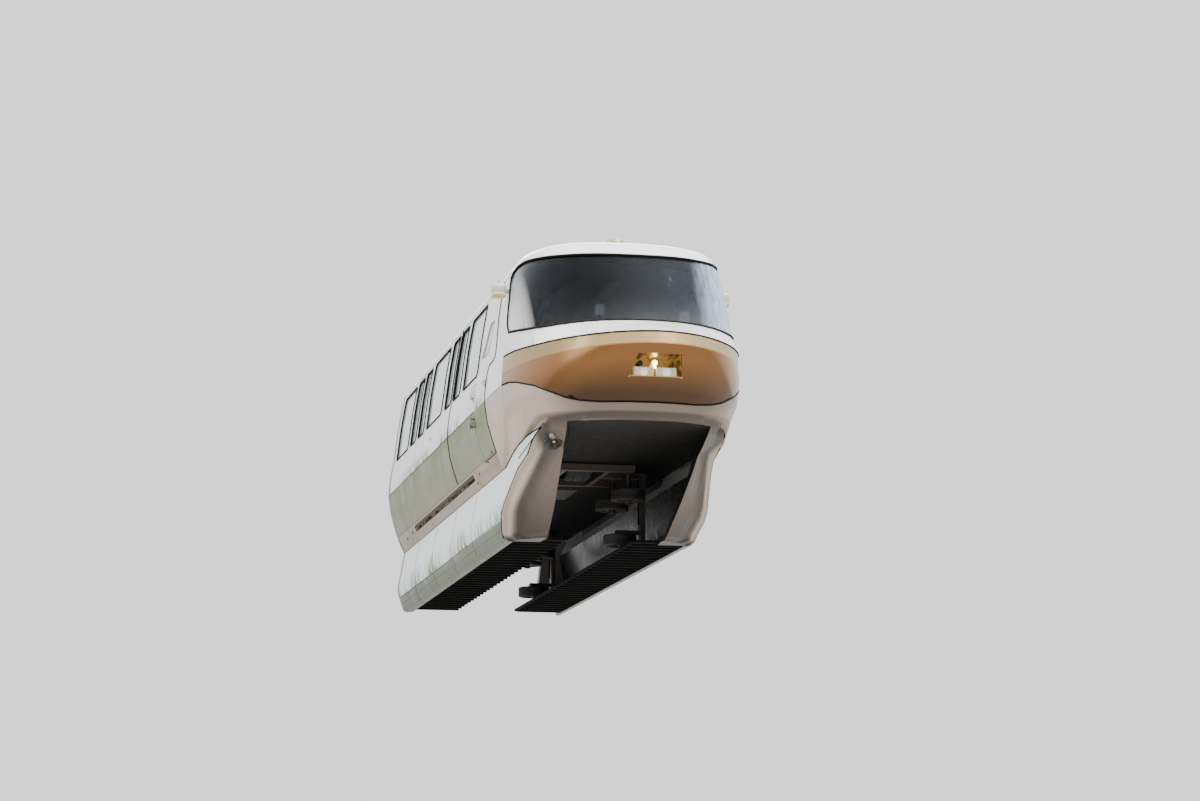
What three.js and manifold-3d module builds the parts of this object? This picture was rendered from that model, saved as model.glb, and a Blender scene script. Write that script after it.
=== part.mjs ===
// Lead car of a straddle-beam monorail train: a rounded cab nose, a passenger cabin with
// two pairs of door leaves on each side, and skirts that hang over both sides of the beam.
// Millimetres. +Z is up and the nose points along -Y. The origin is on the top face of the
// beam, on the car's centre line, midway along the body.
import * as THREE from "three";
import { mergeVertices } from "three/addons/utils/BufferGeometryUtils.js";
import Module from "manifold-3d";

const wasm = await Module();
wasm.setup();

// Driving dimensions
const BEAM_HALF_WIDTH = 330;
const REAR = 5490; // rear edge of the side walls, roof and skirts
const WALL = 60; // thickness of walls and body panels
const SEAM = 0.3; // each piece stops this far short of what it touches
const FAR = 9000; // further out than any part of the car
const BELT = 690; // widest line of the body, and the nose's lower seam
const WAIST = -100; // foot of the body side, where the skirt begins
const ROOF_SEAM = 2060;
const SKIRT_FOOT = -920;
const CAB_SEAM = -2215; // joint between the body side and the nose
const BROW_SEAM = -2740; // joint between the roof and the nose
const FLOOR = [120, 200]; // underside and top

// Outer shape, one row per level: height, half width, nose tip, where the sides leave the
// straight, and squareness of the nose in plan
const LEVELS = [
  [-920, 1060, -2700, -1900, 3.0],
  [-880, 1120, -2820, -1900, 3.0],
  [-660, 1190, -3260, -2100, 3.0],
  [-560, 1195, -3450, -2150, 3.0],
  [-100, 1110, -4300, -2400, 3.0],
  [50, 1180, -4560, -2500, 3.0],
  [150, 1215, -4700, -2600, 2.8],
  [280, 1258, -4840, -2700, 2.6],
  [450, 1305, -5080, -2800, 2.4],
  [690, 1340, -5360, -2850, 2.1],
  [800, 1334, -5440, -2900, 1.95],
  [970, 1314, -5300, -3150, 1.95],
  [1190, 1274, -4730, -3200, 2.1],
  [1600, 1222, -4430, -3150, 2.4],
  [1900, 1172, -4240, -3000, 2.7],
  [2030, 1145, -4150, -2900, 2.8],
  [2120, 1118, -4050, -2850, 2.9],
  [2190, 1065, -3930, -2800, 2.9],
  [2240, 970, -3800, -2750, 2.8],
  [2280, 780, -3640, -2700, 2.7],
  [2305, 430, -3450, -2600, 2.5],
  [2315, 60, -3300, -2500, 2.3],
];
const NOSE_STEPS = 24;

// Seams of the nose in side view, as [y, z] corners from the rear forwards
const CHIN_FOOT = [
  [-3240, BELT],
  [-3510, 674],
  [-3760, 634],
  [-4180, 528],
  [-4370, 448],
  [-4490, 390],
  [-4560, 340],
  [-4650, 300],
  [-4760, 272],
  [-FAR, 272],
];
const CHIN_TOP = [
  [-FAR, 955],
  [-4900, 955],
  [-4200, 968],
  [-3680, 995],
  [-3215, 1010],
];
const WINDSCREEN = [
  [-3300, 1275],
  [-3165, 1380],
  [-3090, 1520],
  [-3030, 1700],
  [-2910, 1900],
  [-2870, 1990],
  [-2910, 2050],
  [-3110, 2066],
  [-3400, 2064],
  [-3740, 2042],
  [-4000, 2026],
  [-FAR, 2026],
  [-FAR, 1178],
  [-4470, 1178],
  [-4180, 1184],
  [-3800, 1214],
];
const SKIRT_FRONT = [
  [-4040, 105],
  [-3590, -30],
  [-3060, -210],
  [-2740, -430],
  [-2490, -625],
  [-2240, -800],
  [-2190, -880],
  [-2190, -FAR],
];

// Free way over the beam, wider at the top: half width at each height
const SLOT = [
  [710, SKIRT_FOOT],
  [830, FLOOR[0]],
];
const SKIRT_LIP = 1000; // inner edge of the skirts' turned-in foot
const LINER = { x: 400, y: [-2190, REAR - 100], z: [-890, -860] };
const RIB = { pitch: 250, length: 40, depth: 25 };
const LAMP_BAY = { foot: [288, 495], head: [235, 705], back: -4970, plate: 50 };
const LAMP_TRAY = { gap: 4, front: -5105, top: 505 };
const LAMP = { x: [22, 228], front: -5118, z: [500, 602] };
const BULB = { radius: 34, length: 60, z: 655, ahead: 20 };

// Windows and doors, by the y of their edges
const WINDOW_Z = [1130, 1990];
const WINDOW_CORNER = 50;
const FIXED_WINDOWS = [
  ["forward", [-1375, -370]],
  ["middle", [1320, 2520]],
  ["aft", [4180, 5210]],
];
const DOORS = [
  ["front", 470],
  ["rear", 3370],
];
const DOOR_HALF = 690;
const DOOR_Z = [105, 2045];
const LEAF_WINDOW = [105, 570]; // measured from the door's centre line
const VENT = { y: [-570, 4100], z: [15, 80], corner: 15 };

// Cab doors: the leaf's corners, its raked window, and the hinge behind its rear edge
const CAB_DOOR = [
  [-1450, 105],
  [-1450, 2035],
  [-2385, 2035],
  [-2420, 1700],
  [-2560, 1250],
  [-2570, 1165],
  [-2530, 1120],
  [-2260, 1105],
  [-2200, 1055],
  [-2200, 105],
];
const CAB_DOOR_GAP = 15;
const CAB_DOOR_THICKNESS = 35;
const CAB_WINDOW = [
  [-1600, 1290],
  [-1900, 1650],
  [-2160, 1650],
  [-2020, 1290],
];
const HINGE = { x: 1375, y: -1432, z: [560, 900], radius: 12, knuckle: 44, gap: 0.4 };
const HINGE_ROOT = { x: 1275, behind: [3, 45], half: 14 }; // fixed to the side wall
const HINGE_LEAF = { x: 1292, ahead: [78, 20], slack: 1, reach: 7 }; // fixed to the door

// Running gear
const AXLES = [
  ["front", -870],
  ["rear", 4695],
];
const LOAD_WHEEL = { radius: 430, width: 300, flat: 60, rim: 300, axle: 45, axleLength: 544 };
const GUIDE_WHEEL = { radius: 200, width: 130, hub: 120, recess: 25, pin: 40 };
const UPPER_GUIDES = { z: -220, reach: 440 };
const LOWER_GUIDE_Z = -700;
const GUIDE_X = BEAM_HALF_WIDTH + GUIDE_WHEEL.radius + SEAM;
const ROUND_STEPS = 20;
const TYRE_STEPS = 32;
const CORNER_SLACK = 1 / Math.cos(Math.PI / ROUND_STEPS);
const WELL = { x: 300, reach: 520, top: 900, wall: 20 };
const BOGIE = { rail: [230, 285], z: [30, 110], reach: 640, beam: 40, overhang: 40 };
const CHEEK = { x: [235, 275], half: 90, rise: 90 };
const POST = { half: 50, foot: 50, pinLength: 430, pinZ: -105 };
const LEG = { x: [770, 830], half: 60, bar: [40, 840], arm: [-620, -580], inner: 50, pad: [400, 700] };
const LEG_PIN = { length: 160, above: 20 };
const MOTOR = { half: 200, behind: [900, 1700], foot: 20 };

// Rear end and fittings
const BULKHEAD_Y = [REAR - 75, REAR - 1];
const DOORWAY = { x: 360, top: 2020 };
const BELLOWS = { inset: 2, depth: 90, folds: 3, fold: 45, pitch: 54, dip: 14 };
const BEACON = { y: -3100, foot: 2290 };
const BEACON_PROFILE = [
  [0, 0],
  [115, 0],
  [115, 112],
  [104, 138],
  [72, 156],
  [0, 165],
];
const POD = { x: [1212, 1385], y: [-2930, -2790], z: [1754, 1926] };
const POD_ARM = { x: [1120, 1220], y: [-2890, -2830], z: [1816, 1866] };
const DESK = { half: 700, y: [-4000, -3650], top: 1050 };
// Driver's seat: half width, y and z of its post, cushion and back
const DRIVER_SEAT = [
  [60, [-2960, -2840], [FLOOR[1] + SEAM, 600]],
  [240, [-3140, -2660], [590, 690]],
  [220, [-2720, -2600], [640, 1350]],
];
const BENCH = { reach: 450, x: [321, 760], z: [600, 680], backTop: 1300, backDepth: 60, bridge: 60 };

// Solids
const solidOf = (geometry) => {
  geometry.deleteAttribute("normal");
  geometry.deleteAttribute("uv");
  const merged = mergeVertices(geometry, 1e-3);
  return new wasm.Manifold(
    new wasm.Mesh({
      numProp: 3,
      vertProperties: new Float32Array(merged.attributes.position.array),
      triVerts: new Uint32Array(merged.index.array),
    }),
  );
};
const join = (solids) => solids.reduce((sum, next) => sum.add(next));
const box = (x, y, z) =>
  solidOf(
    new THREE.BoxGeometry(x[1] - x[0], y[1] - y[0], z[1] - z[0]).translate(
      (x[0] + x[1]) / 2,
      (y[0] + y[1]) / 2,
      (z[0] + z[1]) / 2,
    ),
  );
// A profile of [radius, distance along the axis] turned about one of the car's axes
const turned = (profile, axis, at, steps = ROUND_STEPS) => {
  const points = profile.map(([radius, reach]) => new THREE.Vector2(radius, reach));
  const geometry = new THREE.LatheGeometry(points, steps);
  if (axis === "x") geometry.rotateZ(-Math.PI / 2);
  if (axis === "z") geometry.rotateX(Math.PI / 2);
  return solidOf(geometry.translate(...at));
};
const rod = (radius, length, axis, at, steps = ROUND_STEPS) => {
  const half = length / 2;
  const profile = [
    [0, -half],
    [radius, -half],
    [radius, half],
    [0, half],
  ];
  return turned(profile, axis, at, steps);
};
const outlineOf = (corners) =>
  corners instanceof THREE.Shape
    ? corners
    : new THREE.Shape(corners.map(([a, b]) => new THREE.Vector2(a, b)));
const extruded = (corners, depth, curveSegments = 3) =>
  new THREE.ExtrudeGeometry(outlineOf(corners), { depth, bevelEnabled: false, curveSegments });
// A side-view outline of [y, z] corners, run right across the car
const across = (corners) => {
  const turn = new THREE.Matrix4().set(0, 0, 1, -FAR, 1, 0, 0, 0, 0, 1, 0, 0, 0, 0, 0, 1);
  return solidOf(extruded(corners, 2 * FAR).applyMatrix4(turn));
};
// A front-view outline of [x, z] corners, run along the car between two y values
const along = (corners, y) =>
  solidOf(extruded(corners, y[1] - y[0]).rotateX(Math.PI / 2).translate(0, y[1], 0));
const mirrored = (corners) => [...corners, ...corners.map(([x, z]) => [-x, z]).reverse()];
// An outline grown outwards by a gap, or shrunk where the gap is negative
const grown = (corners, gap) => {
  const flat = corners.map(([a, b]) => new THREE.Vector2(a, b));
  const turn = Math.sign(THREE.ShapeUtils.area(flat));
  return flat.map((corner, i) => {
    const before = corner.clone().sub(flat.at(i - 1)).normalize();
    const after = flat[(i + 1) % flat.length].clone().sub(corner).normalize();
    const reach = (turn * gap) / (1 + before.dot(after));
    return [corner.x + (before.y + after.y) * reach, corner.y - (before.x + after.x) * reach];
  });
};
const rectangle = (y, z) => [
  [y[0], z[0]],
  [y[1], z[0]],
  [y[1], z[1]],
  [y[0], z[1]],
];
const rounded = (y, z, radius) => {
  const shape = new THREE.Shape();
  shape.moveTo(y[0] + radius, z[0]);
  shape.absarc(y[1] - radius, z[0] + radius, radius, -Math.PI / 2, 0);
  shape.absarc(y[1] - radius, z[1] - radius, radius, 0, Math.PI / 2);
  shape.absarc(y[0] + radius, z[1] - radius, radius, Math.PI / 2, Math.PI);
  shape.absarc(y[0] + radius, z[0] + radius, radius, Math.PI, 1.5 * Math.PI);
  return shape;
};
const SIDES = [
  ["left", -1],
  ["right", 1],
];
const sided = (side, x) => (side < 0 ? [-x[1], -x[0]] : x);
const half = (side) => box(sided(side, [0, FAR]), [-FAR, FAR], [-FAR, FAR]);

// One row of the outer shape at a given height
function levelAt(z) {
  const above = Math.max(LEVELS.findIndex((row) => row[0] >= z), 1);
  const [low, high] = [LEVELS[above - 1], LEVELS[above]];
  const share = (z - low[0]) / (high[0] - low[0]);
  return low.map((value, i) => value + (high[i] - value) * share);
}
// The outer shape pulled in by an inset at the sides, at the nose and under the roof
function envelope({ inset = 0, nose = inset, roof = 0, rear = REAR, from = SKIRT_FOOT }) {
  const rows = [levelAt(from), ...LEVELS.filter(([z]) => z > from + 1)];
  const rings = rows.map(([z, halfWidth, tip, start, squareness]) => {
    const w = Math.max(halfWidth - inset, 5);
    const front = Math.min(tip + nose, start - 50);
    const height = z - roof * THREE.MathUtils.clamp((z - 1000) / 1000, 0, 1);
    const ring = [new THREE.Vector3(w, rear, height), new THREE.Vector3(-w, rear, height)];
    for (let i = 0; i <= NOSE_STEPS; i += 1) {
      const angle = Math.PI * (i / NOSE_STEPS);
      const swing = Math.cos(angle);
      const aside = -Math.sign(swing) * Math.abs(swing) ** (2 / squareness);
      const ahead = Math.sin(angle) ** (2 / squareness);
      ring.push(new THREE.Vector3(aside * w, start - (start - front) * ahead, height));
    }
    return ring;
  });
  return stacked(rings);
}
// Closes a pile of rings, each run anticlockwise seen from above, into a solid
function stacked(rings) {
  const count = rings[0].length;
  const index = [];
  for (let level = 0; level + 1 < rings.length; level += 1) {
    for (let i = 0; i < count; i += 1) {
      const a = level * count + i;
      const b = level * count + ((i + 1) % count);
      index.push(a, b, b + count, a, b + count, a + count);
    }
  }
  const last = (rings.length - 1) * count;
  for (const [a, b, c] of facesOf(rings[0])) index.push(a, c, b);
  for (const [a, b, c] of facesOf(rings.at(-1))) index.push(a + last, b + last, c + last);
  const geometry = new THREE.BufferGeometry().setFromPoints(rings.flat());
  geometry.setIndex(index);
  return solidOf(geometry);
}
function facesOf(ring) {
  const flat = ring.map((point) => new THREE.Vector2(point.x, point.y));
  return THREE.ShapeUtils.triangulateShape(flat, []);
}
// A skin of the outer shape that starts one depth below the surface and ends at another
const skin = (outer, inner) =>
  envelope({ inset: outer, roof: outer }).subtract(
    envelope({ inset: inner, nose: inner + 5, roof: inner, rear: FAR, from: -870 }),
  );

// Materials
const paint = (color, roughness, metalness = 0) =>
  new THREE.MeshStandardMaterial({ color, roughness, metalness });
const WHITE = paint(0xe9e9e6, 0.3);
const GOLD = paint(0xb98b45, 0.35, 0.6);
const DARK_GLASS = paint(0x1c2630, 0.08);
const GLASS = paint(0x66727c, 0.08);
const RUBBER = paint(0x1c1c1c, 0.85);
const GREY_RUBBER = paint(0x8f8f90, 0.7);
const STEEL = paint(0x4a4c50, 0.5, 0.7);
const FLOORING = paint(0x5b6066, 0.8);
const SEATING = paint(0x3c5a7a, 0.7);
const CLEAR = paint(0xf3efe2, 0.15);

const car = new THREE.Group();
const add = (name, solid, material) => {
  const mesh = solid.getMesh();
  const geometry = new THREE.BufferGeometry();
  geometry.setAttribute("position", new THREE.Float32BufferAttribute(mesh.vertProperties, 3));
  geometry.setIndex(new THREE.BufferAttribute(mesh.triVerts, 1));
  const node = new THREE.Mesh(geometry, material);
  node.name = name;
  car.add(node);
};

// Body shell: the panels below are cut from it along the seams
const slot = along(mirrored(SLOT), [-FAR, FAR]);
const cavity = envelope({ inset: WALL, nose: 100, roof: WALL, rear: FAR, from: -870 });
const shell = envelope({}).subtract(cavity).subtract(slot);
const lining = envelope({ inset: WALL + SEAM, nose: 100 + SEAM, roof: WALL + SEAM, from: -869 });
const clearOfBody = envelope({ inset: -SEAM, roof: -SEAM });
const panel = (corners) => shell.intersect(across(grown(corners, -SEAM)));
const cabDoorHole = across(grown(CAB_DOOR, CAB_DOOR_GAP));
const skirtOutline = [[REAR + 10, -FAR], [REAR + 10, WAIST], [-2300, WAIST], ...SKIRT_FRONT];

// Nose: the windscreen's surround, the chin between the seams, and the fairing round the beam
const surround = [
  [CAB_SEAM, BELT],
  [CAB_SEAM, ROOF_SEAM],
  [BROW_SEAM, ROOF_SEAM],
  [BROW_SEAM, FAR],
  [-FAR, FAR],
  ...CHIN_TOP,
  CHIN_FOOT[0],
];
const lowerNose = [[-FAR, -FAR], ...CHIN_FOOT.toReversed(), [CAB_SEAM, BELT], [CAB_SEAM, -FAR]];
const lampBay = along(mirrored([LAMP_BAY.foot, LAMP_BAY.head]), [-FAR, LAMP_BAY.back]);
add("nose_surround", panel(surround).subtract(across(WINDSCREEN)).subtract(cabDoorHole), WHITE);
add("windscreen", skin(8, 24).intersect(across(grown(WINDSCREEN, -SEAM))), DARK_GLASS);
add("chin_panel", panel([...CHIN_FOOT, ...CHIN_TOP]).subtract(lampBay), GOLD);
add("lower_fairing", panel(lowerNose).subtract(across(skirtOutline)), WHITE);

// Roof, side walls and door leaves
const roofOutline = [
  [FAR, ROOF_SEAM],
  [BROW_SEAM, ROOF_SEAM],
  [BROW_SEAM, FAR],
  [FAR, FAR],
];
add("roof", panel(roofOutline), WHITE);
const DOOR_LEAVES = DOORS.flatMap(([place, centre]) =>
  [
    ["fore", -1],
    ["aft", 1],
  ].map(([end, way]) => ({
    name: `${place}_${end}`,
    edge: [centre, centre + way * DOOR_HALF].sort((a, b) => a - b),
    window: LEAF_WINDOW.map((off) => centre + way * off).sort((a, b) => a - b),
  })),
);
const wallHoles = join([
  cabDoorHole,
  ...DOORS.map(([, centre]) => across(rectangle([centre - DOOR_HALF, centre + DOOR_HALF], DOOR_Z))),
  ...FIXED_WINDOWS.map(([, y]) => across(rounded(y, WINDOW_Z, WINDOW_CORNER))),
  across(rounded(VENT.y, VENT.z, VENT.corner)),
]);
const wallShell = panel(rectangle([CAB_SEAM, FAR], [WAIST, ROOF_SEAM])).subtract(wallHoles);
const knuckle = (side, z, length) =>
  rod(HINGE.radius, length, "z", [side * HINGE.x, HINGE.y, z], 12);
for (const [name, side] of SIDES) {
  const knuckles = HINGE.z.flatMap((z) =>
    [-1, 1].map((way) => {
      const at = z + way * (HINGE.knuckle + HINGE.gap);
      const behind = HINGE_ROOT.behind.map((reach) => HINGE.y + reach);
      const height = [at - HINGE_ROOT.half, at + HINGE_ROOT.half];
      const root = box(sided(side, [HINGE_ROOT.x, HINGE.x]), behind, height);
      return knuckle(side, at, HINGE.knuckle).add(root);
    }),
  );
  add(`side_wall_${name}`, join([wallShell.intersect(half(side)), ...knuckles]), WHITE);
  for (const leaf of DOOR_LEAVES) {
    const window = across(rounded(leaf.window, WINDOW_Z, WINDOW_CORNER));
    const closed = panel(rectangle(leaf.edge, DOOR_Z));
    add(`door_${name}_${leaf.name}`, closed.subtract(window).intersect(half(side)), WHITE);
  }
}

// Cab doors, each with a pane, and the panes of the fixed windows
const cabDoorSkin = skin(0, CAB_DOOR_THICKNESS).intersect(across(CAB_DOOR)).subtract(across(CAB_WINDOW));
const paneSkin = skin(6, 14);
for (const [name, side] of SIDES) {
  const knuckles = HINGE.z.map((z) => {
    const length = HINGE.knuckle - 2 * HINGE.gap;
    const height = [z - length / 2 + HINGE_LEAF.slack, z + length / 2 - HINGE_LEAF.slack];
    const ahead = HINGE_LEAF.ahead.map((reach) => HINGE.y - reach);
    const outer = HINGE.x + HINGE_LEAF.reach;
    const plate = box(sided(side, [HINGE_LEAF.x, outer]), ahead, height);
    const arm = box(sided(side, [HINGE.x - HINGE_LEAF.reach, outer]), [ahead[1] - 2, HINGE.y], height);
    return join([knuckle(side, z, length), plate, arm]);
  });
  add(`cab_door_${name}`, join([cabDoorSkin.intersect(half(side)), ...knuckles]), WHITE);
  const pane = paneSkin.intersect(across(grown(CAB_WINDOW, -SEAM)));
  add(`cab_door_glass_${name}`, pane.intersect(half(side)), GLASS);
  for (const [place, y] of FIXED_WINDOWS) {
    const inside = [y, WINDOW_Z].map(([low, high]) => [low + SEAM, high - SEAM]);
    const outline = across(rounded(...inside, WINDOW_CORNER));
    add(`side_glass_${name}_${place}`, paneSkin.intersect(outline).intersect(half(side)), GLASS);
  }
}

// Skirts, and the ribbed liners that close them underneath
const lipCut = box([-SKIRT_LIP, SKIRT_LIP], [-FAR, FAR], [-FAR, LINER.z[1] + 10]);
const skirts = panel(skirtOutline).subtract(lipCut);
const ribCount = Math.floor((LINER.y[1] - LINER.y[0]) / RIB.pitch);
for (const [name, side] of SIDES) {
  add(`skirt_${name}`, skirts.intersect(half(side)), WHITE);
  const edge = SKIRT_LIP - SEAM;
  const ribZ = [LINER.z[0] - RIB.depth, LINER.z[1] - 5];
  const ribs = Array.from({ length: ribCount }, (_, i) => {
    const y = LINER.y[0] + (i + 0.5) * RIB.pitch;
    return box(sided(side, [LINER.x + 10, edge]), [y, y + RIB.length], ribZ);
  });
  const liner = box(sided(side, [LINER.x, edge]), LINER.y, LINER.z);
  add(`skirt_liner_${name}`, join([liner, ...ribs]), RUBBER);
}

// Floor with a raised well over each load wheel
const wells = AXLES.map(([, y]) => {
  const reach = WELL.reach + WELL.wall;
  const side = WELL.x + WELL.wall;
  return box([-side, side], [y - reach, y + reach], [FLOOR[0] + 10, WELL.top + WELL.wall]);
});
const wellHollows = AXLES.map(([, y]) =>
  box([-WELL.x, WELL.x], [y - WELL.reach, y + WELL.reach], [-FAR, WELL.top]),
);
const deck = lining.intersect(box([-FAR, FAR], [-FAR, BULKHEAD_Y[0] - SEAM], FLOOR));
add("floor_pan", join([deck, ...wells]).subtract(join(wellHollows)), FLOORING);

// Rear bulkhead with its doorway, and the bellows behind it
const bulkhead = lining.intersect(box([-FAR, FAR], BULKHEAD_Y, [FLOOR[0], FAR]));
const doorway = box([-DOORWAY.x, DOORWAY.x], [-FAR, FAR], [FLOOR[1], DOORWAY.top]);
add("rear_bulkhead", bulkhead.subtract(doorway), WHITE);
const section = (inset, y) =>
  envelope({ inset, roof: inset, rear: FAR, from: -860 }).intersect(box([-FAR, FAR], y, [-FAR, FAR]));
const bellowsFront = REAR + SEAM;
const bellowsRear = bellowsFront + (BELLOWS.folds - 1) * BELLOWS.pitch + BELLOWS.fold;
const folds = Array.from({ length: BELLOWS.folds }, (_, i) => {
  const y = bellowsFront + i * BELLOWS.pitch;
  return section(BELLOWS.inset, [y, y + BELLOWS.fold]);
});
const core = section(BELLOWS.inset + BELLOWS.dip, [bellowsFront, bellowsRear]);
const bellowsHole = section(BELLOWS.inset + BELLOWS.depth, [REAR - 10, FAR]).intersect(
  box([-FAR, FAR], [-FAR, FAR], [FLOOR[1], FAR]),
);
add("gangway_bellows", join([core, ...folds]).subtract(bellowsHole).subtract(slot), GREY_RUBBER);

// Bogies: a frame over the beam that holds the load wheel, with legs down to the guide wheels
const guideWheel = (at) => {
  const { radius, width, hub, recess, pin } = GUIDE_WHEEL;
  const bore = (pin + SEAM) * CORNER_SLACK;
  const upper = [
    [radius, width / 2 - 15],
    [radius - 12, width / 2],
    [hub + 20, width / 2],
    [hub, width / 2 - recess],
    [bore, width / 2 - recess],
  ];
  const lower = upper.map(([r, reach]) => [r, -reach]).reverse();
  return turned([...lower, ...upper, lower[0]], "z", at);
};
for (const [place, y] of AXLES) {
  const rails = [-1, 1].map((side) =>
    box(sided(side, BOGIE.rail), [y - BOGIE.reach, y + BOGIE.reach], BOGIE.z),
  );
  const ends = [-1, 1].map((way) => {
    const at = y + way * (BOGIE.reach - BOGIE.beam);
    const reach = GUIDE_X + BOGIE.overhang;
    return box([-reach, reach], [at - BOGIE.beam, at + BOGIE.beam], BOGIE.z);
  });
  const cheeks = [-1, 1].map((side) =>
    box(
      sided(side, CHEEK.x),
      [y - CHEEK.half, y + CHEEK.half],
      [BOGIE.z[0], LOAD_WHEEL.radius + CHEEK.rise],
    ),
  );
  const posts = [-1, 1].flatMap((side) =>
    [-1, 1].map((way) => {
      const at = y + way * UPPER_GUIDES.reach;
      const plate = [at - way * POST.half, y + way * BOGIE.reach].sort((a, b) => a - b);
      const width = [GUIDE_X - POST.half, GUIDE_X + POST.half];
      return join([
        rod(GUIDE_WHEEL.pin, POST.pinLength, "z", [side * GUIDE_X, at, POST.pinZ]),
        box(sided(side, width), plate, [POST.foot, BOGIE.z[1]]),
      ]);
    }),
  );
  const width = [y - LEG.half, y + LEG.half];
  const legs = [-1, 1].map((side) =>
    join([
      box(sided(side, [BOGIE.rail[0], LEG.bar[1]]), width, [LEG.bar[0], BOGIE.z[1]]),
      box(sided(side, LEG.x), width, [LOWER_GUIDE_Z - 10, BOGIE.z[1] - 10]),
      box(sided(side, [GUIDE_X - LEG.inner, LEG.x[0] + 30]), width, LEG.arm),
      rod(GUIDE_WHEEL.pin, LEG_PIN.length, "z", [side * GUIDE_X, y, LOWER_GUIDE_Z + LEG_PIN.above]),
      box(sided(side, LEG.pad), width, [BOGIE.z[1] - 10, FLOOR[0] - SEAM]),
    ]),
  );
  const bore = rod((LOAD_WHEEL.axle + SEAM) * CORNER_SLACK, 1000, "x", [0, y, LOAD_WHEEL.radius]);
  const frame = join([...rails, ...ends, ...cheeks, ...posts, ...legs]);
  add(`bogie_frame_${place}`, frame.subtract(bore), STEEL);
  const tread = [
    [LOAD_WHEEL.radius - SEAM, LOAD_WHEEL.flat],
    [LOAD_WHEEL.radius - 5, LOAD_WHEEL.width / 2 - 25],
    [LOAD_WHEEL.radius - 25, LOAD_WHEEL.width / 2],
    [LOAD_WHEEL.rim, LOAD_WHEEL.width / 2],
    [0, LOAD_WHEEL.width / 2],
  ];
  const inner = tread.map(([radius, reach]) => [radius, -reach]).reverse();
  const tyre = turned([...inner, ...tread], "x", [0, y, LOAD_WHEEL.radius], TYRE_STEPS);
  const axle = rod(LOAD_WHEEL.axle, LOAD_WHEEL.axleLength, "x", [0, y, LOAD_WHEEL.radius]);
  add(`load_wheel_${place}`, tyre.add(axle), RUBBER);
  for (const [name, side] of SIDES) {
    for (const [spot, ahead, z] of [
      ["fore", -UPPER_GUIDES.reach, UPPER_GUIDES.z],
      ["aft", UPPER_GUIDES.reach, UPPER_GUIDES.z],
      ["lower", 0, LOWER_GUIDE_Z],
    ]) {
      add(`guide_wheel_${name}_${place}_${spot}`, guideWheel([side * GUIDE_X, y + ahead, z]), RUBBER);
    }
  }
}
const motorY = MOTOR.behind.map((reach) => AXLES[0][1] + reach);
const motor = box([-MOTOR.half, MOTOR.half], motorY, [MOTOR.foot, FLOOR[0] - SEAM]);
add("traction_motor", motor, STEEL);

// Headlamp unit: a tray and a back plate in the bay, two square lamps and a round one above
const bayPlate = grown(mirrored([LAMP_BAY.foot, LAMP_BAY.head]), -SEAM);
const bayBack = [LAMP_BAY.back - LAMP_BAY.plate, LAMP_BAY.back - SEAM];
const trayHalf = LAMP_BAY.foot[0] - LAMP_TRAY.gap;
const trayY = [LAMP_TRAY.front, bayBack[1]];
const tray = box([-trayHalf, trayHalf], trayY, [LAMP_BAY.foot[1] + SEAM, LAMP_TRAY.top]);
const lamps = [-1, 1].map((side) => box(sided(side, LAMP.x), [LAMP.front, bayBack[0] + 5], LAMP.z));
const bulb = rod(BULB.radius, BULB.length, "y", [0, bayBack[0] - BULB.ahead, BULB.z], 16);
add("headlamp_unit", join([along(bayPlate, bayBack), tray, ...lamps, bulb]), CLEAR);

// Roof beacon and camera pods
const beacon = turned(BEACON_PROFILE, "z", [0, BEACON.y, BEACON.foot]);
add("roof_beacon", beacon.subtract(clearOfBody), GOLD);
for (const [name, side] of SIDES) {
  const pod = box(sided(side, POD.x), POD.y, POD.z);
  const arm = box(sided(side, POD_ARM.x), POD_ARM.y, POD_ARM.z);
  add(`camera_pod_${name}`, pod.add(arm).subtract(clearOfBody), WHITE);
}

// Cab fittings, and cabin benches that stand back to back along each well
const deskZ = [FLOOR[1] + SEAM, DESK.top];
add("driver_desk", box([-DESK.half, DESK.half], DESK.y, deskZ), STEEL);
const driverSeat = DRIVER_SEAT.map(([width, y, z]) => box([-width, width], y, z));
add("driver_seat", join(driverSeat), SEATING);
for (const [place, y] of AXLES) {
  const length = [y - BENCH.reach, y + BENCH.reach];
  const backX = [BENCH.x[0], BENCH.x[0] + BENCH.backDepth];
  const benches = [-1, 1].flatMap((side) => [
    box(sided(side, BENCH.x), length, BENCH.z),
    box(sided(side, backX), length, [BENCH.z[0], BENCH.backTop]),
  ]);
  const cap = WELL.top + WELL.wall + SEAM;
  const bridge = box([-BENCH.x[0] - 10, BENCH.x[0] + 10], length, [cap, cap + BENCH.bridge]);
  add(`seat_${place}`, join([...benches, bridge]), SEATING);
}

export default car;
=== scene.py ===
"""Looks of a straddle-beam monorail's lead car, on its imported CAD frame. Metres, +Z up, nose towards -Y."""

import math
from contextlib import contextmanager

import bmesh
import bpy
from bpy.props import FloatProperty, FloatVectorProperty, IntProperty, PointerProperty
from mathutils import Matrix, Vector
from mathutils.bvhtree import BVHTree


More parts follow.
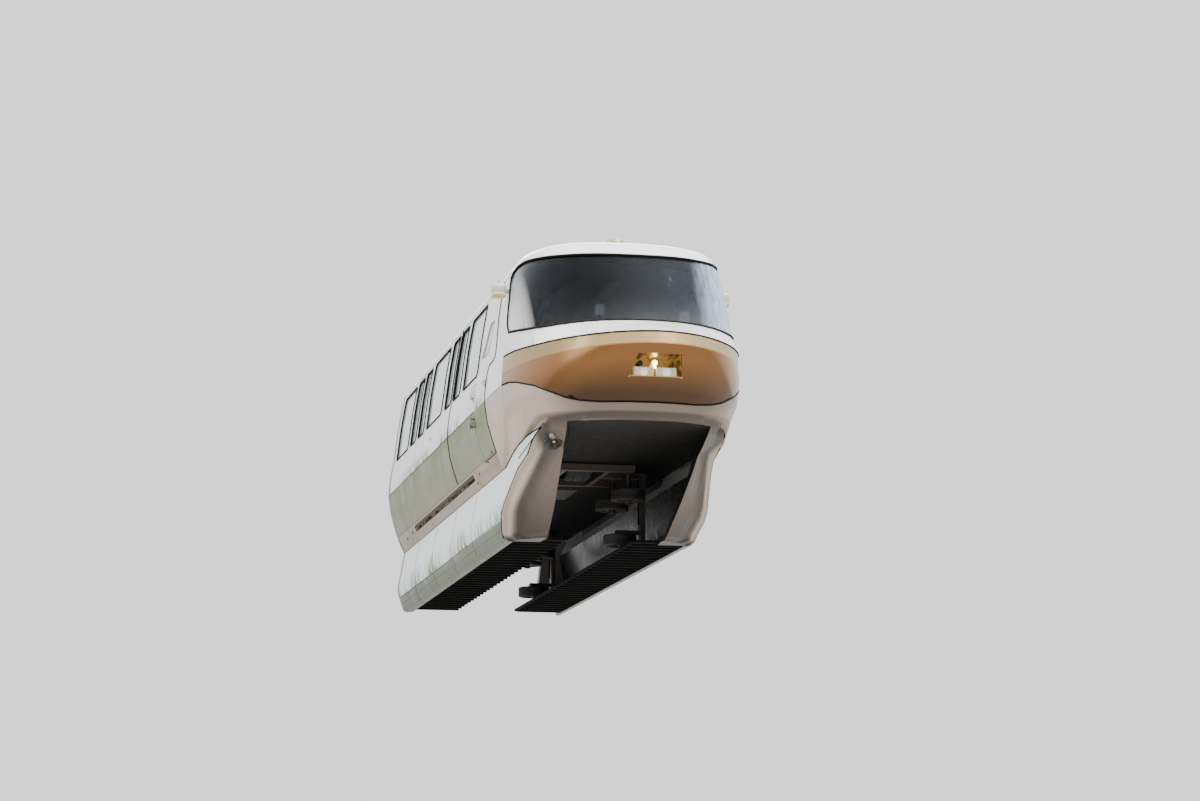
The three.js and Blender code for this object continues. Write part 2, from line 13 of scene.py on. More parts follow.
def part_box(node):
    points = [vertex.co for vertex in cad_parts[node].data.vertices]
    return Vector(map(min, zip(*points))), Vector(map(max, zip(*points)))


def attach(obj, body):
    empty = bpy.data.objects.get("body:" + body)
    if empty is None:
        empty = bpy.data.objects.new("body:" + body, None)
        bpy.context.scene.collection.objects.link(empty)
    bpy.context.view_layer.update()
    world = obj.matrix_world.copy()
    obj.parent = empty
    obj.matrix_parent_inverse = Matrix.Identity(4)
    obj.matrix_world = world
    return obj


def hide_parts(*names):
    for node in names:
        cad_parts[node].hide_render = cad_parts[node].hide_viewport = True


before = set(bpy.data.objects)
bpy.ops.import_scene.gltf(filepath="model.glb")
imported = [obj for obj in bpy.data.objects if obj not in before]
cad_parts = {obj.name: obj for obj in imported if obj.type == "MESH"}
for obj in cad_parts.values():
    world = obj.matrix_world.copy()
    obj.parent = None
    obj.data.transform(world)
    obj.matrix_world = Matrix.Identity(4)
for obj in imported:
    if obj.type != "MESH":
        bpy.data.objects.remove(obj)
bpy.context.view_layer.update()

bl_info = {
    "name": "Monorail Lead Car",
    "version": (1, 0, 0),
    "blender": (4, 5, 0),
    "location": "3D View > Sidebar > Monorail",
    "description": "Dresses the lead car of a straddle-beam monorail",
    "category": "Object",
}

# Heights of the seams, places along the car and the section's widths, in metres
BODY = "car_body"
BELT = 0.69
CREASE = 0.8
WAIST = -0.1
REAR = 5.49
CAB_SEAM = -2.215
ROOF_SEAM = 2.06
SKIRT_FOLD = -0.7
SKIRT_SEAMS = (-0.45, 1.05, 2.6, 4.14)
CAB_HINGE = (-1.375, -1.432)
NOSE_CENTRE = -2.6
PANEL_ANGLE = 28
AXLES = {"front": -0.87, "rear": 4.695}
# Each pair of passenger doors by its middle, with half its width, and each leaf's window from that middle
DOORS = {"front": 0.47, "rear": 3.37}
DOOR_HALF = 0.69
DOOR_Z = (0.105, 2.045)
LEAF_WINDOW = (0.105, 0.57)
WINDOW_Z = (1.13, 1.99)
FIXED_WINDOWS = ((-1.375, -0.37), (1.32, 2.52), (4.18, 5.21))
# Lines in side view as (y, z): the cab door and its window, then the nose
CAB_WINDOW = ((-1.6, 1.29), (-1.9, 1.65), (-2.16, 1.65), (-2.02, 1.29))
CAB_DOOR = (
    (-1.443, 0.098), (-1.443, 2.042), (-2.391, 2.042), (-2.428, 1.7), (-2.567, 1.25), (-2.577, 1.165),
    (-2.534, 1.113), (-2.262, 1.098), (-2.208, 1.05), (-2.208, 0.098),
)
CHIN_TOP = ((-9.0, 0.955), (-4.9, 0.955), (-4.2, 0.968), (-3.68, 0.995), (-3.215, 1.01))
CHIN_FOOT = (
    (-9.0, 0.272), (-4.76, 0.272), (-4.65, 0.3), (-4.56, 0.34), (-4.49, 0.39), (-4.37, 0.448),
    (-4.18, 0.528), (-3.76, 0.634), (-3.51, 0.674), (-3.24, 0.69),
)
SCREEN_FOOT = ((-9.0, 1.178), (-4.47, 1.178), (-4.18, 1.184), (-3.8, 1.214), (-3.3, 1.275))
SCREEN_TOP = ((-9.0, 2.026), (-4.0, 2.026), (-3.74, 2.042), (-3.4, 2.064), (-3.11, 2.066))
SCREEN_SIDE = (
    (-3.3, 1.275), (-3.165, 1.38), (-3.09, 1.52), (-3.03, 1.7), (-2.91, 1.9), (-2.87, 1.99), (-2.91, 2.05),
    (-3.11, 2.066),
)
SKIRT_EDGE = (
    (-2.3, -0.1), (-4.03, 0.104), (-3.59, -0.03), (-3.06, -0.21), (-2.74, -0.43), (-2.49, -0.625),
    (-2.24, -0.8), (-2.19, -0.88),
)


class CarSizes(bpy.types.PropertyGroup):
    """Sizes of the trim that is laid on the body"""

    gasket: FloatProperty(
        name="Window Gasket", description="Radius of window gaskets", default=0.013, unit="LENGTH"
    )
    seal: FloatProperty(
        name="Panel Seal", description="Radius of rubber seams", default=0.009, unit="LENGTH"
    )
    joint: FloatProperty(
        name="Panel Joint", description="Radius of plain panel joints", default=0.005, unit="LENGTH"
    )
    rivet: FloatProperty(
        name="Rivet", description="Radius of rivet heads", default=0.008, unit="LENGTH"
    )
    bolts: IntProperty(name="Hub Bolts", description="Bolts on a wheel's hub", default=8, min=3)


class CarColours(bpy.types.PropertyGroup):
    """Colours of the car's finishes"""

    white: FloatVectorProperty(
        name="Body White", description="Upper body", default=(0.8, 0.81, 0.82), subtype="COLOR"
    )
    gold: FloatVectorProperty(
        name="Gold", description="Chin panel", default=(0.26, 0.108, 0.024), subtype="COLOR"
    )
    algae: FloatVectorProperty(
        name="Algae", description="Green film in the seams", default=(0.2, 0.235, 0.12), subtype="COLOR"
    )
    bellows: FloatVectorProperty(
        name="Bellows", description="Gangway fabric", default=(0.3, 0.3, 0.31), subtype="COLOR"
    )
    seats: FloatVectorProperty(
        name="Seats", description="Seat cloth", default=(0.06, 0.13, 0.24), subtype="COLOR"
    )


# Selecting and editing
def choose(*pieces):
    bpy.ops.object.select_all(action="DESELECT")
    for piece in pieces:
        piece.select_set(True)
    bpy.context.view_layer.objects.active = pieces[0]


@contextmanager
def editing(piece, kind="FACE"):
    choose(piece)
    bpy.ops.object.mode_set(mode="EDIT")
    bpy.ops.mesh.select_mode(type=kind)
    yield
    bpy.ops.object.mode_set(mode="OBJECT")


def pick(piece, test, kind="faces"):
    bpy.ops.mesh.select_all(action="DESELECT")
    mesh = bmesh.from_edit_mesh(piece.data)
    mesh.normal_update()
    for part in getattr(mesh, kind):
        if test(part):
            part.select_set(True)
    mesh.select_flush_mode()
    bmesh.update_edit_mesh(piece.data)


def outward(piece):
    with editing(piece):
        bpy.ops.mesh.select_all(action="SELECT")
        bpy.ops.mesh.normals_make_consistent(inside=False)


def soften(piece, degrees=35):
    choose(piece)
    bpy.ops.object.shade_smooth_by_angle(angle=math.radians(degrees), keep_sharp_edges=True)


def settle(piece):
    """Puts the object's place and turn into its mesh"""
    choose(piece)
    bpy.ops.object.transform_apply(location=True, rotation=True, scale=True)


def dress(piece, look, body=BODY, replaces=(), degrees=35):
    """Smooths a piece, gives it its look and its body, and hides the nodes that it stands for"""
    soften(piece, degrees)
    piece.data.materials.clear()
    piece.data.materials.append(LOOKS[look])
    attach(piece, body)
    if replaces:
        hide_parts(*replaces)
    return piece


def copied(piece, name, shift=(0, 0, 0), mirror=False):
    choose(piece)
    bpy.ops.object.duplicate(linked=False)
    copy = bpy.context.object
    copy.name = name
    if mirror:
        copy.scale = (-1, 1, 1)
        bpy.ops.object.transform_apply(location=False, rotation=False, scale=True)
        outward(copy)
    copy.location = shift
    settle(copy)
    return copy


def joined(name, pieces):
    choose(*pieces)
    if len(pieces) > 1:
        bpy.ops.object.join()
    whole = bpy.context.object
    whole.name = name
    return whole


# Basic forms
def block(name, low, high, rim=0.002, steps=2, sunk=()):
    """A box between two corners. sunk lists (normal, border, depth) of faces that are inset and pushed"""
    bpy.ops.object.select_all(action="DESELECT")
    low, high = Vector(low), Vector(high)
    bpy.ops.mesh.primitive_cube_add(size=1, location=(low + high) / 2)
    piece = bpy.context.object
    piece.name = name
    piece.scale = high - low
    settle(piece)
    with editing(piece):
        for normal, border, depth in sunk:
            pick(piece, lambda face: face.normal.dot(Vector(normal)) > 0.9)
            bpy.ops.mesh.inset(thickness=border, depth=0)
            bpy.ops.mesh.extrude_region_move(
                TRANSFORM_OT_translate={"value": [depth * part for part in normal]}
            )
        bpy.ops.mesh.select_all(action="DESELECT")
        bpy.ops.mesh.select_mode(type="EDGE")
        bpy.ops.mesh.edges_select_sharp(sharpness=0.6)
        bpy.ops.mesh.bevel(offset=rim, segments=steps, affect="EDGES", clamp_overlap=True)
    outward(piece)
    return piece


def turned(name, profile, axis, at, steps=24, ring=False):
    """A circle extruded and scaled along a profile of (radius, distance), then laid along an axis"""
    bpy.ops.object.select_all(action="DESELECT")
    radius, height = profile[0]
    bpy.ops.mesh.primitive_circle_add(
        vertices=steps,
        radius=radius,
        fill_type="NOTHING" if ring else "NGON",
        location=(0, 0, height),
    )
    piece = bpy.context.object
    piece.name = name
    settle(piece)
    path = list(profile) + ([profile[0]] if ring else [])
    with editing(piece, "EDGE" if ring else "FACE"):
        bpy.ops.mesh.select_all(action="SELECT")
        for (r0, h0), (r1, h1) in zip(path, path[1:]):
            bpy.ops.mesh.extrude_region_move(TRANSFORM_OT_translate={"value": (0, 0, h1 - h0)})
            bpy.ops.transform.resize(value=(r1 / r0, r1 / r0, 1), center_override=(0, 0, h1))
        bpy.ops.mesh.select_all(action="SELECT")
        bpy.ops.mesh.remove_doubles(threshold=1e-5)
    quarter = math.pi / 2
    piece.rotation_euler = {"x": (0, quarter, 0), "y": (-quarter, 0, 0), "z": (0, 0, 0)}[axis]
    piece.location = at
    settle(piece)
    outward(piece)
    return piece


def bead(name, runs, radius, closed=False, sides=1):
    """Round strips along one or more runs of points"""
    bpy.ops.object.select_all(action="DESELECT")
    bpy.ops.curve.primitive_nurbs_path_add(location=(0, 0, 0))
    piece = bpy.context.object
    piece.name = name
    curve = piece.data
    curve.splines.clear()
    for run in runs:
        line = curve.splines.new("POLY")
        line.points.add(len(run) - 1)
        for point, place in zip(line.points, run):
            point.co = (*place, 1)
        line.use_cyclic_u = closed
    curve.bevel_depth = radius
    curve.bevel_resolution = sides
    curve.use_fill_caps = True
    choose(piece)
    bpy.ops.object.convert(target="MESH")
    outward(piece)
    return piece


# Profiles of turned pieces, as (radius, distance along the axis)
LEVER = ((0.012, 0), (0.01, 0.07), (0.019, 0.08), (0.022, 0.1), (0.012, 0.12))
HINGE_CAP = ((0.004, 0.0), (0.0118, 0.0), (0.0118, 0.004), (0.007, 0.006), (0.002, 0.007))
HINGE_BOLT = ((0.006, 0.002), (0.006, -0.003), (0.004, -0.0045))
LAMP_SCREW = ((0.0055, 0.0), (0.0055, 0.002), (0.003, 0.0035))
LAMP_BOWL = (
    (0.041, -0.036), (0.0385, -0.022), (0.03, -0.01), (0.018, -0.003), (0.008, -0.012), (0.006, -0.03),
    (0.002, -0.032),
)
LIT_BULB = ((0.012, 0.0), (0.014, -0.012), (0.026, -0.03), (0.029, -0.045), (0.022, -0.06), (0.008, -0.066))
BULB_CUP = ((0.044, -0.03), (0.041, -0.03), (0.035, -0.012), (0.02, 0.0), (0.022, 0.006), (0.038, -0.008))
SPARE_SOCKET = ((0.03, 0.0), (0.03, 0.02), (0.024, 0.022), (0.02, 0.006))
BEACON_BASE = ((0.08, 0.0), (0.115, 0.0), (0.1145, 0.03), (0.109, 0.036), (0.09, 0.036))
BEACON_SCREW = ((0.005, 0.0), (0.005, 0.003), (0.003, 0.0045))
POD_WHIP = ((0.004, 0.0), (0.004, 0.012), (0.0022, 0.016), (0.0015, 0.06), (0.003, 0.064))
AERIAL = ((0.03, 0.0), (0.03, 0.008), (0.022, 0.014), (0.012, 0.02), (0.009, 0.05), (0.005, 0.055))
HUB_RIM = ((0.05, 0.05), (0.096, 0.03), (0.104, 0.0), (0.094, -0.02), (0.07, -0.032), (0.03, -0.036))
HUB_LOBE = ((0.012, 0.02), (0.028, 0.016), (0.03, -0.03), (0.024, -0.044), (0.01, -0.052))
HUB_CROWN = ((0.035, 0.0), (0.04, -0.02), (0.034, -0.045), (0.02, -0.06), (0.006, -0.064))
HUB_PLUG = ((0.012, 0.0), (0.016, -0.006), (0.014, -0.022), (0.004, -0.026))
GUIDE_DISC = ((0.044, 0.0), (0.108, 0.0), (0.104, 0.006), (0.07, 0.008), (0.062, 0.012), (0.044, 0.012))
AXLE = ((0.02, -0.272), (0.045, -0.268), (0.045, 0.268), (0.02, 0.272))
LOAD_CAP = ((0.05, 0.1), (0.12, 0.118), (0.115, 0.13), (0.07, 0.136), (0.046, 0.137))
LOAD_NUT = ((0.016, 0.085), (0.016, 0.112), (0.01, 0.118))
GUIDE_BOLT = ((0.009, 0.05), (0.009, 0.058), (0.006, 0.0605))
PIN_CAP = ((0.03, -0.322), (0.03, -0.3), (0.036, -0.298), (0.036, -0.288))
PIN_FOOT = ((0.03, -0.775), (0.03, -0.765), (0.036, -0.765), (0.036, -0.76))
ARM_BOLT = ((0.01, 0.11), (0.01, 0.117), (0.007, 0.119))
POST_BOLT = ((0.009, 0.83), (0.009, 0.837), (0.006, 0.839))
BELLOWS_NUT = ((0.009, 5.64), (0.009, 5.6425), (0.006, 5.643))
SEAT_STEM = (
    (0.06, 0.2005), (0.058, 0.23), (0.035, 0.26), (0.035, 0.34), (0.05, 0.35), (0.05, 0.5), (0.06, 0.59)
)
POLE_FOOT = ((0.02, 0.2005), (0.045, 0.2005), (0.045, 0.207), (0.03, 0.213), (0.018, 0.22))


def facing(rows, way):
    """A profile that faces one way along its axis"""
    return [(radius, out * way) for radius, out in rows]


# Places on the body
def gathered(names):
    places, faces = [], []
    for name in names:
        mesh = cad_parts[name].data
        start = len(places)
        places += [vertex.co.copy() for vertex in mesh.vertices]
        faces += [[start + i for i in face.vertices] for face in mesh.polygons]
    return BVHTree.FromPolygons(places, faces)


SHELL_NODES = [
    name
    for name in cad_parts
    if name.startswith(
        ("side_wall", "door_", "nose_", "chin_", "lower_", "windscreen", "roof", "skirt_l", "skirt_r")
    )
    and "liner" not in name
    and "beacon" not in name
] + ["cab_door_left", "cab_door_right"]
SHELL = gathered(SHELL_NODES)
# The body's cross section as (height, half width)
WALL_ROWS = (
    (-0.92, 1.06), (-0.88, 1.12), (-0.66, 1.19), (-0.56, 1.195), (-0.1, 1.11), (0.05, 1.18), (0.15, 1.215),
    (0.28, 1.258), (0.45, 1.305), (0.69, 1.34), (0.8, 1.334), (0.97, 1.314), (1.19, 1.274), (1.6, 1.222),
    (1.9, 1.172), (2.03, 1.145), (2.12, 1.118), (2.19, 1.065), (2.24, 0.97), (2.28, 0.78), (2.305, 0.43),
    (2.315, 0.06),
)
# Steps off a point, in y and z, at which rays are cast beside the car
NEAR = ((0.005, 0.0), (-0.005, 0.0), (0.0, 0.005), (0.0, -0.005))


def wall_x(z):
    """Half width of the straight part of the body at a height"""
    for (z0, x0), (z1, x1) in zip(WALL_ROWS, WALL_ROWS[1:]):
        if z <= z1:
            return x0 + (x1 - x0) * (z - z0) / (z1 - z0)
    return WALL_ROWS[-1][1]


def on_wall(y, z, out=0.0, side=-1):
    return Vector((side * (wall_x(z) + out), y, z))


def on_side(y, z, out=0.0, side=-1):
    """A point on the body's skin, from rays cast just beside it so that they clear the panel gaps"""
    hits = []
    for dy, dz in NEAR:
        hit, normal, _, _ = SHELL.ray_cast(Vector((3 * side, y + dy, z + dz)), Vector((-side, 0, 0)))
        if hit is not None:
            hits.append((abs(hit.x), normal))
    if not hits:
        return on_wall(y, z, out, side)
    widest = max(reach for reach, _ in hits)
    close = [(reach, normal) for reach, normal in hits if reach > widest - 0.05]
    reach = sum(reach for reach, _ in close) / len(close)
    normal = sum((normal for _, normal in close), Vector()).normalized()
    return Vector((side * reach, y, z)) + normal * out


def along_wall(y0, y1, z, out=0.0):
    """A level line on the straight side"""
    return [on_wall(y0, z, out), on_wall(y1, z, out)]


def level(line, y):
    """Height of a side-view line at a distance along the car"""
    for (y0, z0), (y1, z1) in zip(line, line[1:]):
        if y <= y1:
            return z0 + (z1 - z0) * (y - y0) / (y1 - y0)
    return line[-1][1]


def cast_in(way, z, centre):
    """Where a level ray towards the car's middle meets the skin, just above or below a height"""
    hits = []
    for dz in (0.005, -0.005):
        hit, normal, _, _ = SHELL.ray_cast(Vector((0, centre, z + dz)) + way * 4, -way)
        if hit is not None:
            hits.append(((hit - Vector((0, centre, hit.z))).length, hit, normal))
    if not hits:
        return None, None
    _, hit, normal = max(hits, key=lambda found: found[0])
    return Vector((hit.x, hit.y, z)), normal


def round_nose(line, end_y, out=0.0, count=96, centre=-2.9):
    """Points where a side-view line runs round the nose, from the left side to the right"""
    points = []
    for i in range(count + 1):
        angle = math.pi * i / count
        way = Vector((-math.cos(angle), -math.sin(angle), 0))
        z = level(line, -5.2 + 2 * abs(math.cos(angle)))
        hit = None
        for _ in range(6):
            hit, normal = cast_in(way, z, centre)
            if hit is None:
                break
            z = level(line, hit.y)
        if hit is not None and hit.y < end_y:
            points.append(hit + normal * out)
    return points


def divided(line, step=0.06):
    """The line's corners with points between them no further apart than a step"""
    points = [Vector(line[0])]
    for a, b in zip(line, line[1:]):
        a, b = Vector(a), Vector(b)
        count = max(1, math.ceil((b - a).length / step))
        points += [a.lerp(b, i / count) for i in range(1, count + 1)]
    return points


def on_skin(line, step=0.06, out=0.0):
    """A side-view line laid on the body's skin"""
    return [on_side(y, z, out) for y, z in divided(line, step)]


def rounded(y, z, radius, steps=5):
    """Corners of a rounded window in side view"""
    corners = ((y[1], z[0], -90), (y[1], z[1], 0), (y[0], z[1], 90), (y[0], z[0], 180))
    line = []
    for cy, cz, start in corners:
        middle = (cy - math.copysign(radius, cy - sum(y) / 2), cz - math.copysign(radius, cz - sum(z) / 2))
        for i in range(steps + 1):
            angle = math.radians(start + 90 * i / steps)
            line.append((middle[0] + radius * math.cos(angle), middle[1] + radius * math.sin(angle)))
    return line


# Materials
def group_of(name, inputs, outputs):
    tree = bpy.data.node_groups.new(name, "ShaderNodeTree")
    for label, kind in inputs:
        tree.interface.new_socket(name=label, in_out="INPUT", socket_type=kind)
    for label, kind in outputs:
        tree.interface.new_socket(name=label, in_out="OUTPUT", socket_type=kind)
    return tree, tree.nodes.new("NodeGroupInput"), tree.nodes.new("NodeGroupOutput")


def node(tree, kind, values=(), **settings):
    made = tree.nodes.new(kind)
    for key, value in settings.items():
        setattr(made, key, value)
    for key, value in dict(values).items():
        made.inputs[key].default_value = value
    return made


def maths(tree, operation, a, b=None, clamp=False):
    made = node(tree, "ShaderNodeMath", operation=operation, use_clamp=clamp)
    for socket, value in zip(made.inputs, (a, b)):
        if value is None:
            continue
        if isinstance(value, (int, float)):
            socket.default_value = value
        else:
            tree.links.new(value, socket)
    return made.outputs[0]


def noise(tree, scale, place, detail=4.0, stretch=(1, 1, 1)):
    mapping = node(tree, "ShaderNodeMapping", {"Scale": stretch})
    tree.links.new(place, mapping.inputs["Vector"])
    made = node(tree, "ShaderNodeTexNoise", {"Scale": scale, "Detail": detail, "Roughness": 0.6})
    tree.links.new(mapping.outputs[0], made.inputs["Vector"])
    return made.outputs["Fac"]


def ranged(tree, value, low, high, to_low=0.0, to_high=1.0):
    limits = {"From Min": low, "From Max": high, "To Min": to_low, "To Max": to_high}
    made = node(tree, "ShaderNodeMapRange", limits)
    tree.links.new(value, made.inputs["Value"])
    return made.outputs[0]


def mixed(tree, factor, a, b):
    made = node(tree, "ShaderNodeMix", data_type="RGBA")
    for socket, value in zip((made.inputs[0], made.inputs[6], made.inputs[7]), (factor, a, b)):
        if isinstance(value, (int, float)):
            socket.default_value = value
        elif isinstance(value, (tuple, list)):
            socket.default_value = (*value, 1) if len(value) == 3 else value
        else:
            tree.links.new(value, socket)
    return made.outputs[2]


COLOUR, NUMBER = "NodeSocketColor", "NodeSocketFloat"
# Near black: the undercoat of inner faces and undersides, and also the colour of the deepest painted shade on
# the fairing's legs
UNDERCOAT_AND_DEEP_SHADE = (0.01, 0.0095, 0.009)


def sockets(colours, numbers):
    return [(label, COLOUR) for label in colours] + [(label, NUMBER) for label in numbers]


LOOK_OUTPUTS = sockets(("Color",), ("Roughness", "Height"))
# Legs: how much painted shade falls on the fairing's legs, in the Foot colour
PAINT_INPUTS = sockets(
    ("Paint", "Lower", "Foot", "Grime", "Inside"),
    ("Amount", "Line", "Rise", "Drop", "Foot Line", "Foot Blend", "Legs", "Gloss"),
)
GRAIN_INPUTS = sockets(("Base", "Mottle", "Dust", "Under"), ("Dust Amount", "Scale", "Gloss", "Under Amount"))


def make_weathered_with_painted_shading():
    """Paint in up to three zones by height, with grime that creeps up and runs down from a line, and painted
    shade on the fairing's legs. On the gold chin and the side walls the zones also paint light and shade
    """
    tree, given, result = group_of("Weathered Paint", PAINT_INPUTS, LOOK_OUTPUTS)
    coordinates = node(tree, "ShaderNodeTexCoord")
    place = coordinates.outputs["Object"]
    split = node(tree, "ShaderNodeSeparateXYZ")
    tree.links.new(place, split.inputs[0])
    x, y, z = (split.outputs[axis] for axis in "XYZ")
    above = maths(tree, "SUBTRACT", z, given.outputs["Line"])
    lower = maths(tree, "LESS_THAN", above, 0.0)
    depth = maths(tree, "SUBTRACT", given.outputs["Foot Line"], z)
    foot = maths(tree, "DIVIDE", depth, given.outputs["Foot Blend"], clamp=True)
    # Zones by height: Paint above the line, Lower below it, Foot below the foot line
    tone = mixed(tree, lower, given.outputs["Paint"], given.outputs["Lower"])
    tone = mixed(tree, foot, tone, given.outputs["Foot"])
    # Painted shade on the hollowed front of the fairing's legs, in the Foot colour
    legs = maths(tree, "MULTIPLY", painted_leg_shade(tree, y, z), given.outputs["Legs"])
    tone = mixed(tree, legs, tone, given.outputs["Foot"])
    # the painted shade on the legs deepens towards near black lower down
    depths = maths(tree, "MULTIPLY", ranged(tree, z, -0.4, -0.85, 0.0, 0.65), legs)
    tone = mixed(tree, depths, tone, UNDERCOAT_AND_DEEP_SHADE)
    streaks = ranged(tree, noise(tree, 5.0, place, 6.0, (2.6, 2.6, 0.35)), 0.42, 0.6)
    patches = ranged(tree, noise(tree, 1.7, place, 5.0), 0.38, 0.66)
    rising = maths(tree, "SUBTRACT", 1.0, maths(tree, "DIVIDE", above, given.outputs["Rise"]), clamp=True)
    rising = maths(tree, "MULTIPLY", rising, maths(tree, "SUBTRACT", 1.0, lower))
    reach = maths(tree, "MULTIPLY", above, -1.0)
    falling = maths(tree, "SUBTRACT", 1.0, maths(tree, "DIVIDE", reach, given.outputs["Drop"]), clamp=True)
    falling = maths(tree, "MULTIPLY", maths(tree, "MULTIPLY", falling, lower), 0.5)
    fleck = maths(tree, "MULTIPLY", streaks, ranged(tree, noise(tree, 26.0, place, 6.0), 0.25, 0.5, 0.4, 1.0))
    rising = maths(tree, "POWER", rising, 0.6)
    clumps = ranged(tree, noise(tree, 0.9, place, 4.0, (1.0, 1.0, 0.2)), 0.4, 0.62, 0.05, 1.0)
    fleck = maths(tree, "MULTIPLY", fleck, clumps)
    risen = maths(tree, "MULTIPLY", rising, fleck)
    film = maths(tree, "ADD", risen, maths(tree, "MULTIPLY", falling, patches))
    film = maths(tree, "MULTIPLY", film, given.outputs["Amount"], clamp=True)
    broad = ranged(tree, noise(tree, 0.8, place, 3.0), 0.3, 0.7, 0.0, 0.08)
    tone = mixed(tree, broad, tone, given.outputs["Grime"])
    tone = mixed(tree, film, tone, given.outputs["Grime"])
    specks = ranged(tree, noise(tree, 38.0, place, 5.0), 0.69, 0.76, 0.0, 0.12)
    tone = mixed(tree, specks, tone, (0.3, 0.28, 0.24))
    tone = mixed(tree, facing_in(tree, coordinates, x, y, z), tone, given.outputs["Inside"])
    tree.links.new(tone, result.inputs["Color"])
    rough = maths(tree, "MULTIPLY_ADD", film, 0.4)
    tree.links.new(given.outputs["Gloss"], rough.node.inputs[2])
    smear = ranged(tree, noise(tree, 3.0, place, 6.0), 0.3, 0.7, -0.04, 0.08)
    tree.links.new(maths(tree, "ADD", rough, smear, clamp=True), result.inputs["Roughness"])
    ripple = maths(tree, "MULTIPLY_ADD", noise(tree, 1.6, place, 2.0), 6.0)
    tree.links.new(noise(tree, 160.0, place, 2.0), ripple.node.inputs[2])
    tree.links.new(ripple, result.inputs["Height"])
    return tree


def sloped(tree, y, slope, height):
    made = maths(tree, "MULTIPLY_ADD", y, slope)
    made.node.inputs[2].default_value = height
    return made


def painted_leg_shade(tree, y, z):
    """How much painted shade lies on the hollowed front of the fairing's legs: under the arched rim, in the
    valley, under the chin and along the bottom edge
    """
    rim = maths(tree, "MINIMUM", sloped(tree, y, -0.29, -0.94), 0.24)
    below = maths(tree, "SUBTRACT", rim, z)
    # painted shade in a band just under the arched rim
    band = maths(tree, "MULTIPLY", ranged(tree, below, 0.0, 0.03), ranged(tree, below, 0.05, 0.15, 0.55, 0.0))
    # painted shade filling the valley, a little lighter deeper in
    valley = maths(tree, "SUBTRACT", maths(tree, "MINIMUM", rim, sloped(tree, y, -0.6, -2.235)), z)
    fading = ranged(tree, valley, 0.09, 0.26, 1.0, 0.72)
    floor = maths(tree, "MULTIPLY", ranged(tree, valley, 0.0, 0.06), fading)
    # painted shadow of the overhanging chin on the fairing's front under it
    under = ranged(tree, y, -4.65, -4.25, 0.6, 0.0)
    # painted shade along the bottom edge
    foot = ranged(tree, z, -0.9, -0.85, 1.0, 0.0)
    return maths(tree, "MAXIMUM", maths(tree, "MAXIMUM", band, floor), maths(tree, "MAXIMUM", under, foot))


def facing_in(tree, coordinates, x, y, z):
    """1 where the surface faces the car's middle, 0 on its outer faces"""
    ahead = maths(tree, "MINIMUM", maths(tree, "SUBTRACT", y, NOSE_CENTRE), 0.0)
    over = maths(tree, "MAXIMUM", maths(tree, "SUBTRACT", z, 1.6), 0.0)
    outward_way = node(tree, "ShaderNodeCombineXYZ")
    for value, socket in zip((x, ahead, over), outward_way.inputs):
        tree.links.new(value, socket)
    unit = node(tree, "ShaderNodeVectorMath", operation="NORMALIZE")
    tree.links.new(outward_way.outputs[0], unit.inputs[0])
    facing = node(tree, "ShaderNodeVectorMath", operation="DOT_PRODUCT")
    tree.links.new(unit.outputs[0], facing.inputs[0])
    tree.links.new(coordinates.outputs["Normal"], facing.inputs[1])
    within = maths(tree, "LESS_THAN", maths(tree, "ABSOLUTE", x), 1.283)
    return maths(tree, "MULTIPLY", maths(tree, "LESS_THAN", facing.outputs["Value"], -0.25), within)


def make_grain():
    """A mottled surface with fine grain and dust on what faces up"""
    tree, given, result = group_of("Grained Surface", GRAIN_INPUTS, LOOK_OUTPUTS)
    place = node(tree, "ShaderNodeTexCoord").outputs["Object"]
    coarse = noise(tree, 9.0, place, 6.0)
    tone = mixed(tree, ranged(tree, coarse, 0.35, 0.7), given.outputs["Base"], given.outputs["Mottle"])
    normal = node(tree, "ShaderNodeSeparateXYZ")
    tree.links.new(node(tree, "ShaderNodeNewGeometry").outputs["Normal"], normal.inputs[0])
    upward = ranged(tree, normal.outputs["Z"], 0.3, 1.0)
    settled = ranged(tree, noise(tree, 24.0, place, 5.0), 0.35, 0.62)
    film = maths(tree, "MULTIPLY", maths(tree, "MULTIPLY", upward, settled), given.outputs["Dust Amount"])
    tone = mixed(tree, film, tone, given.outputs["Dust"])
    below = maths(tree, "LESS_THAN", normal.outputs["Z"], 0.5)
    below = maths(tree, "MULTIPLY", below, given.outputs["Under Amount"])
    tree.links.new(mixed(tree, below, tone, given.outputs["Under"]), result.inputs["Color"])
    rough = maths(tree, "ADD", given.outputs["Gloss"], ranged(tree, coarse, 0.3, 0.7, -0.06, 0.1), clamp=True)
    tree.links.new(rough, result.inputs["Roughness"])
    fine = node(tree, "ShaderNodeTexNoise", {"Detail": 3.0})
    tree.links.new(place, fine.inputs["Vector"])
    tree.links.new(given.outputs["Scale"], fine.inputs["Scale"])
    tree.links.new(fine.outputs["Fac"], result.inputs["Height"])
    return tree


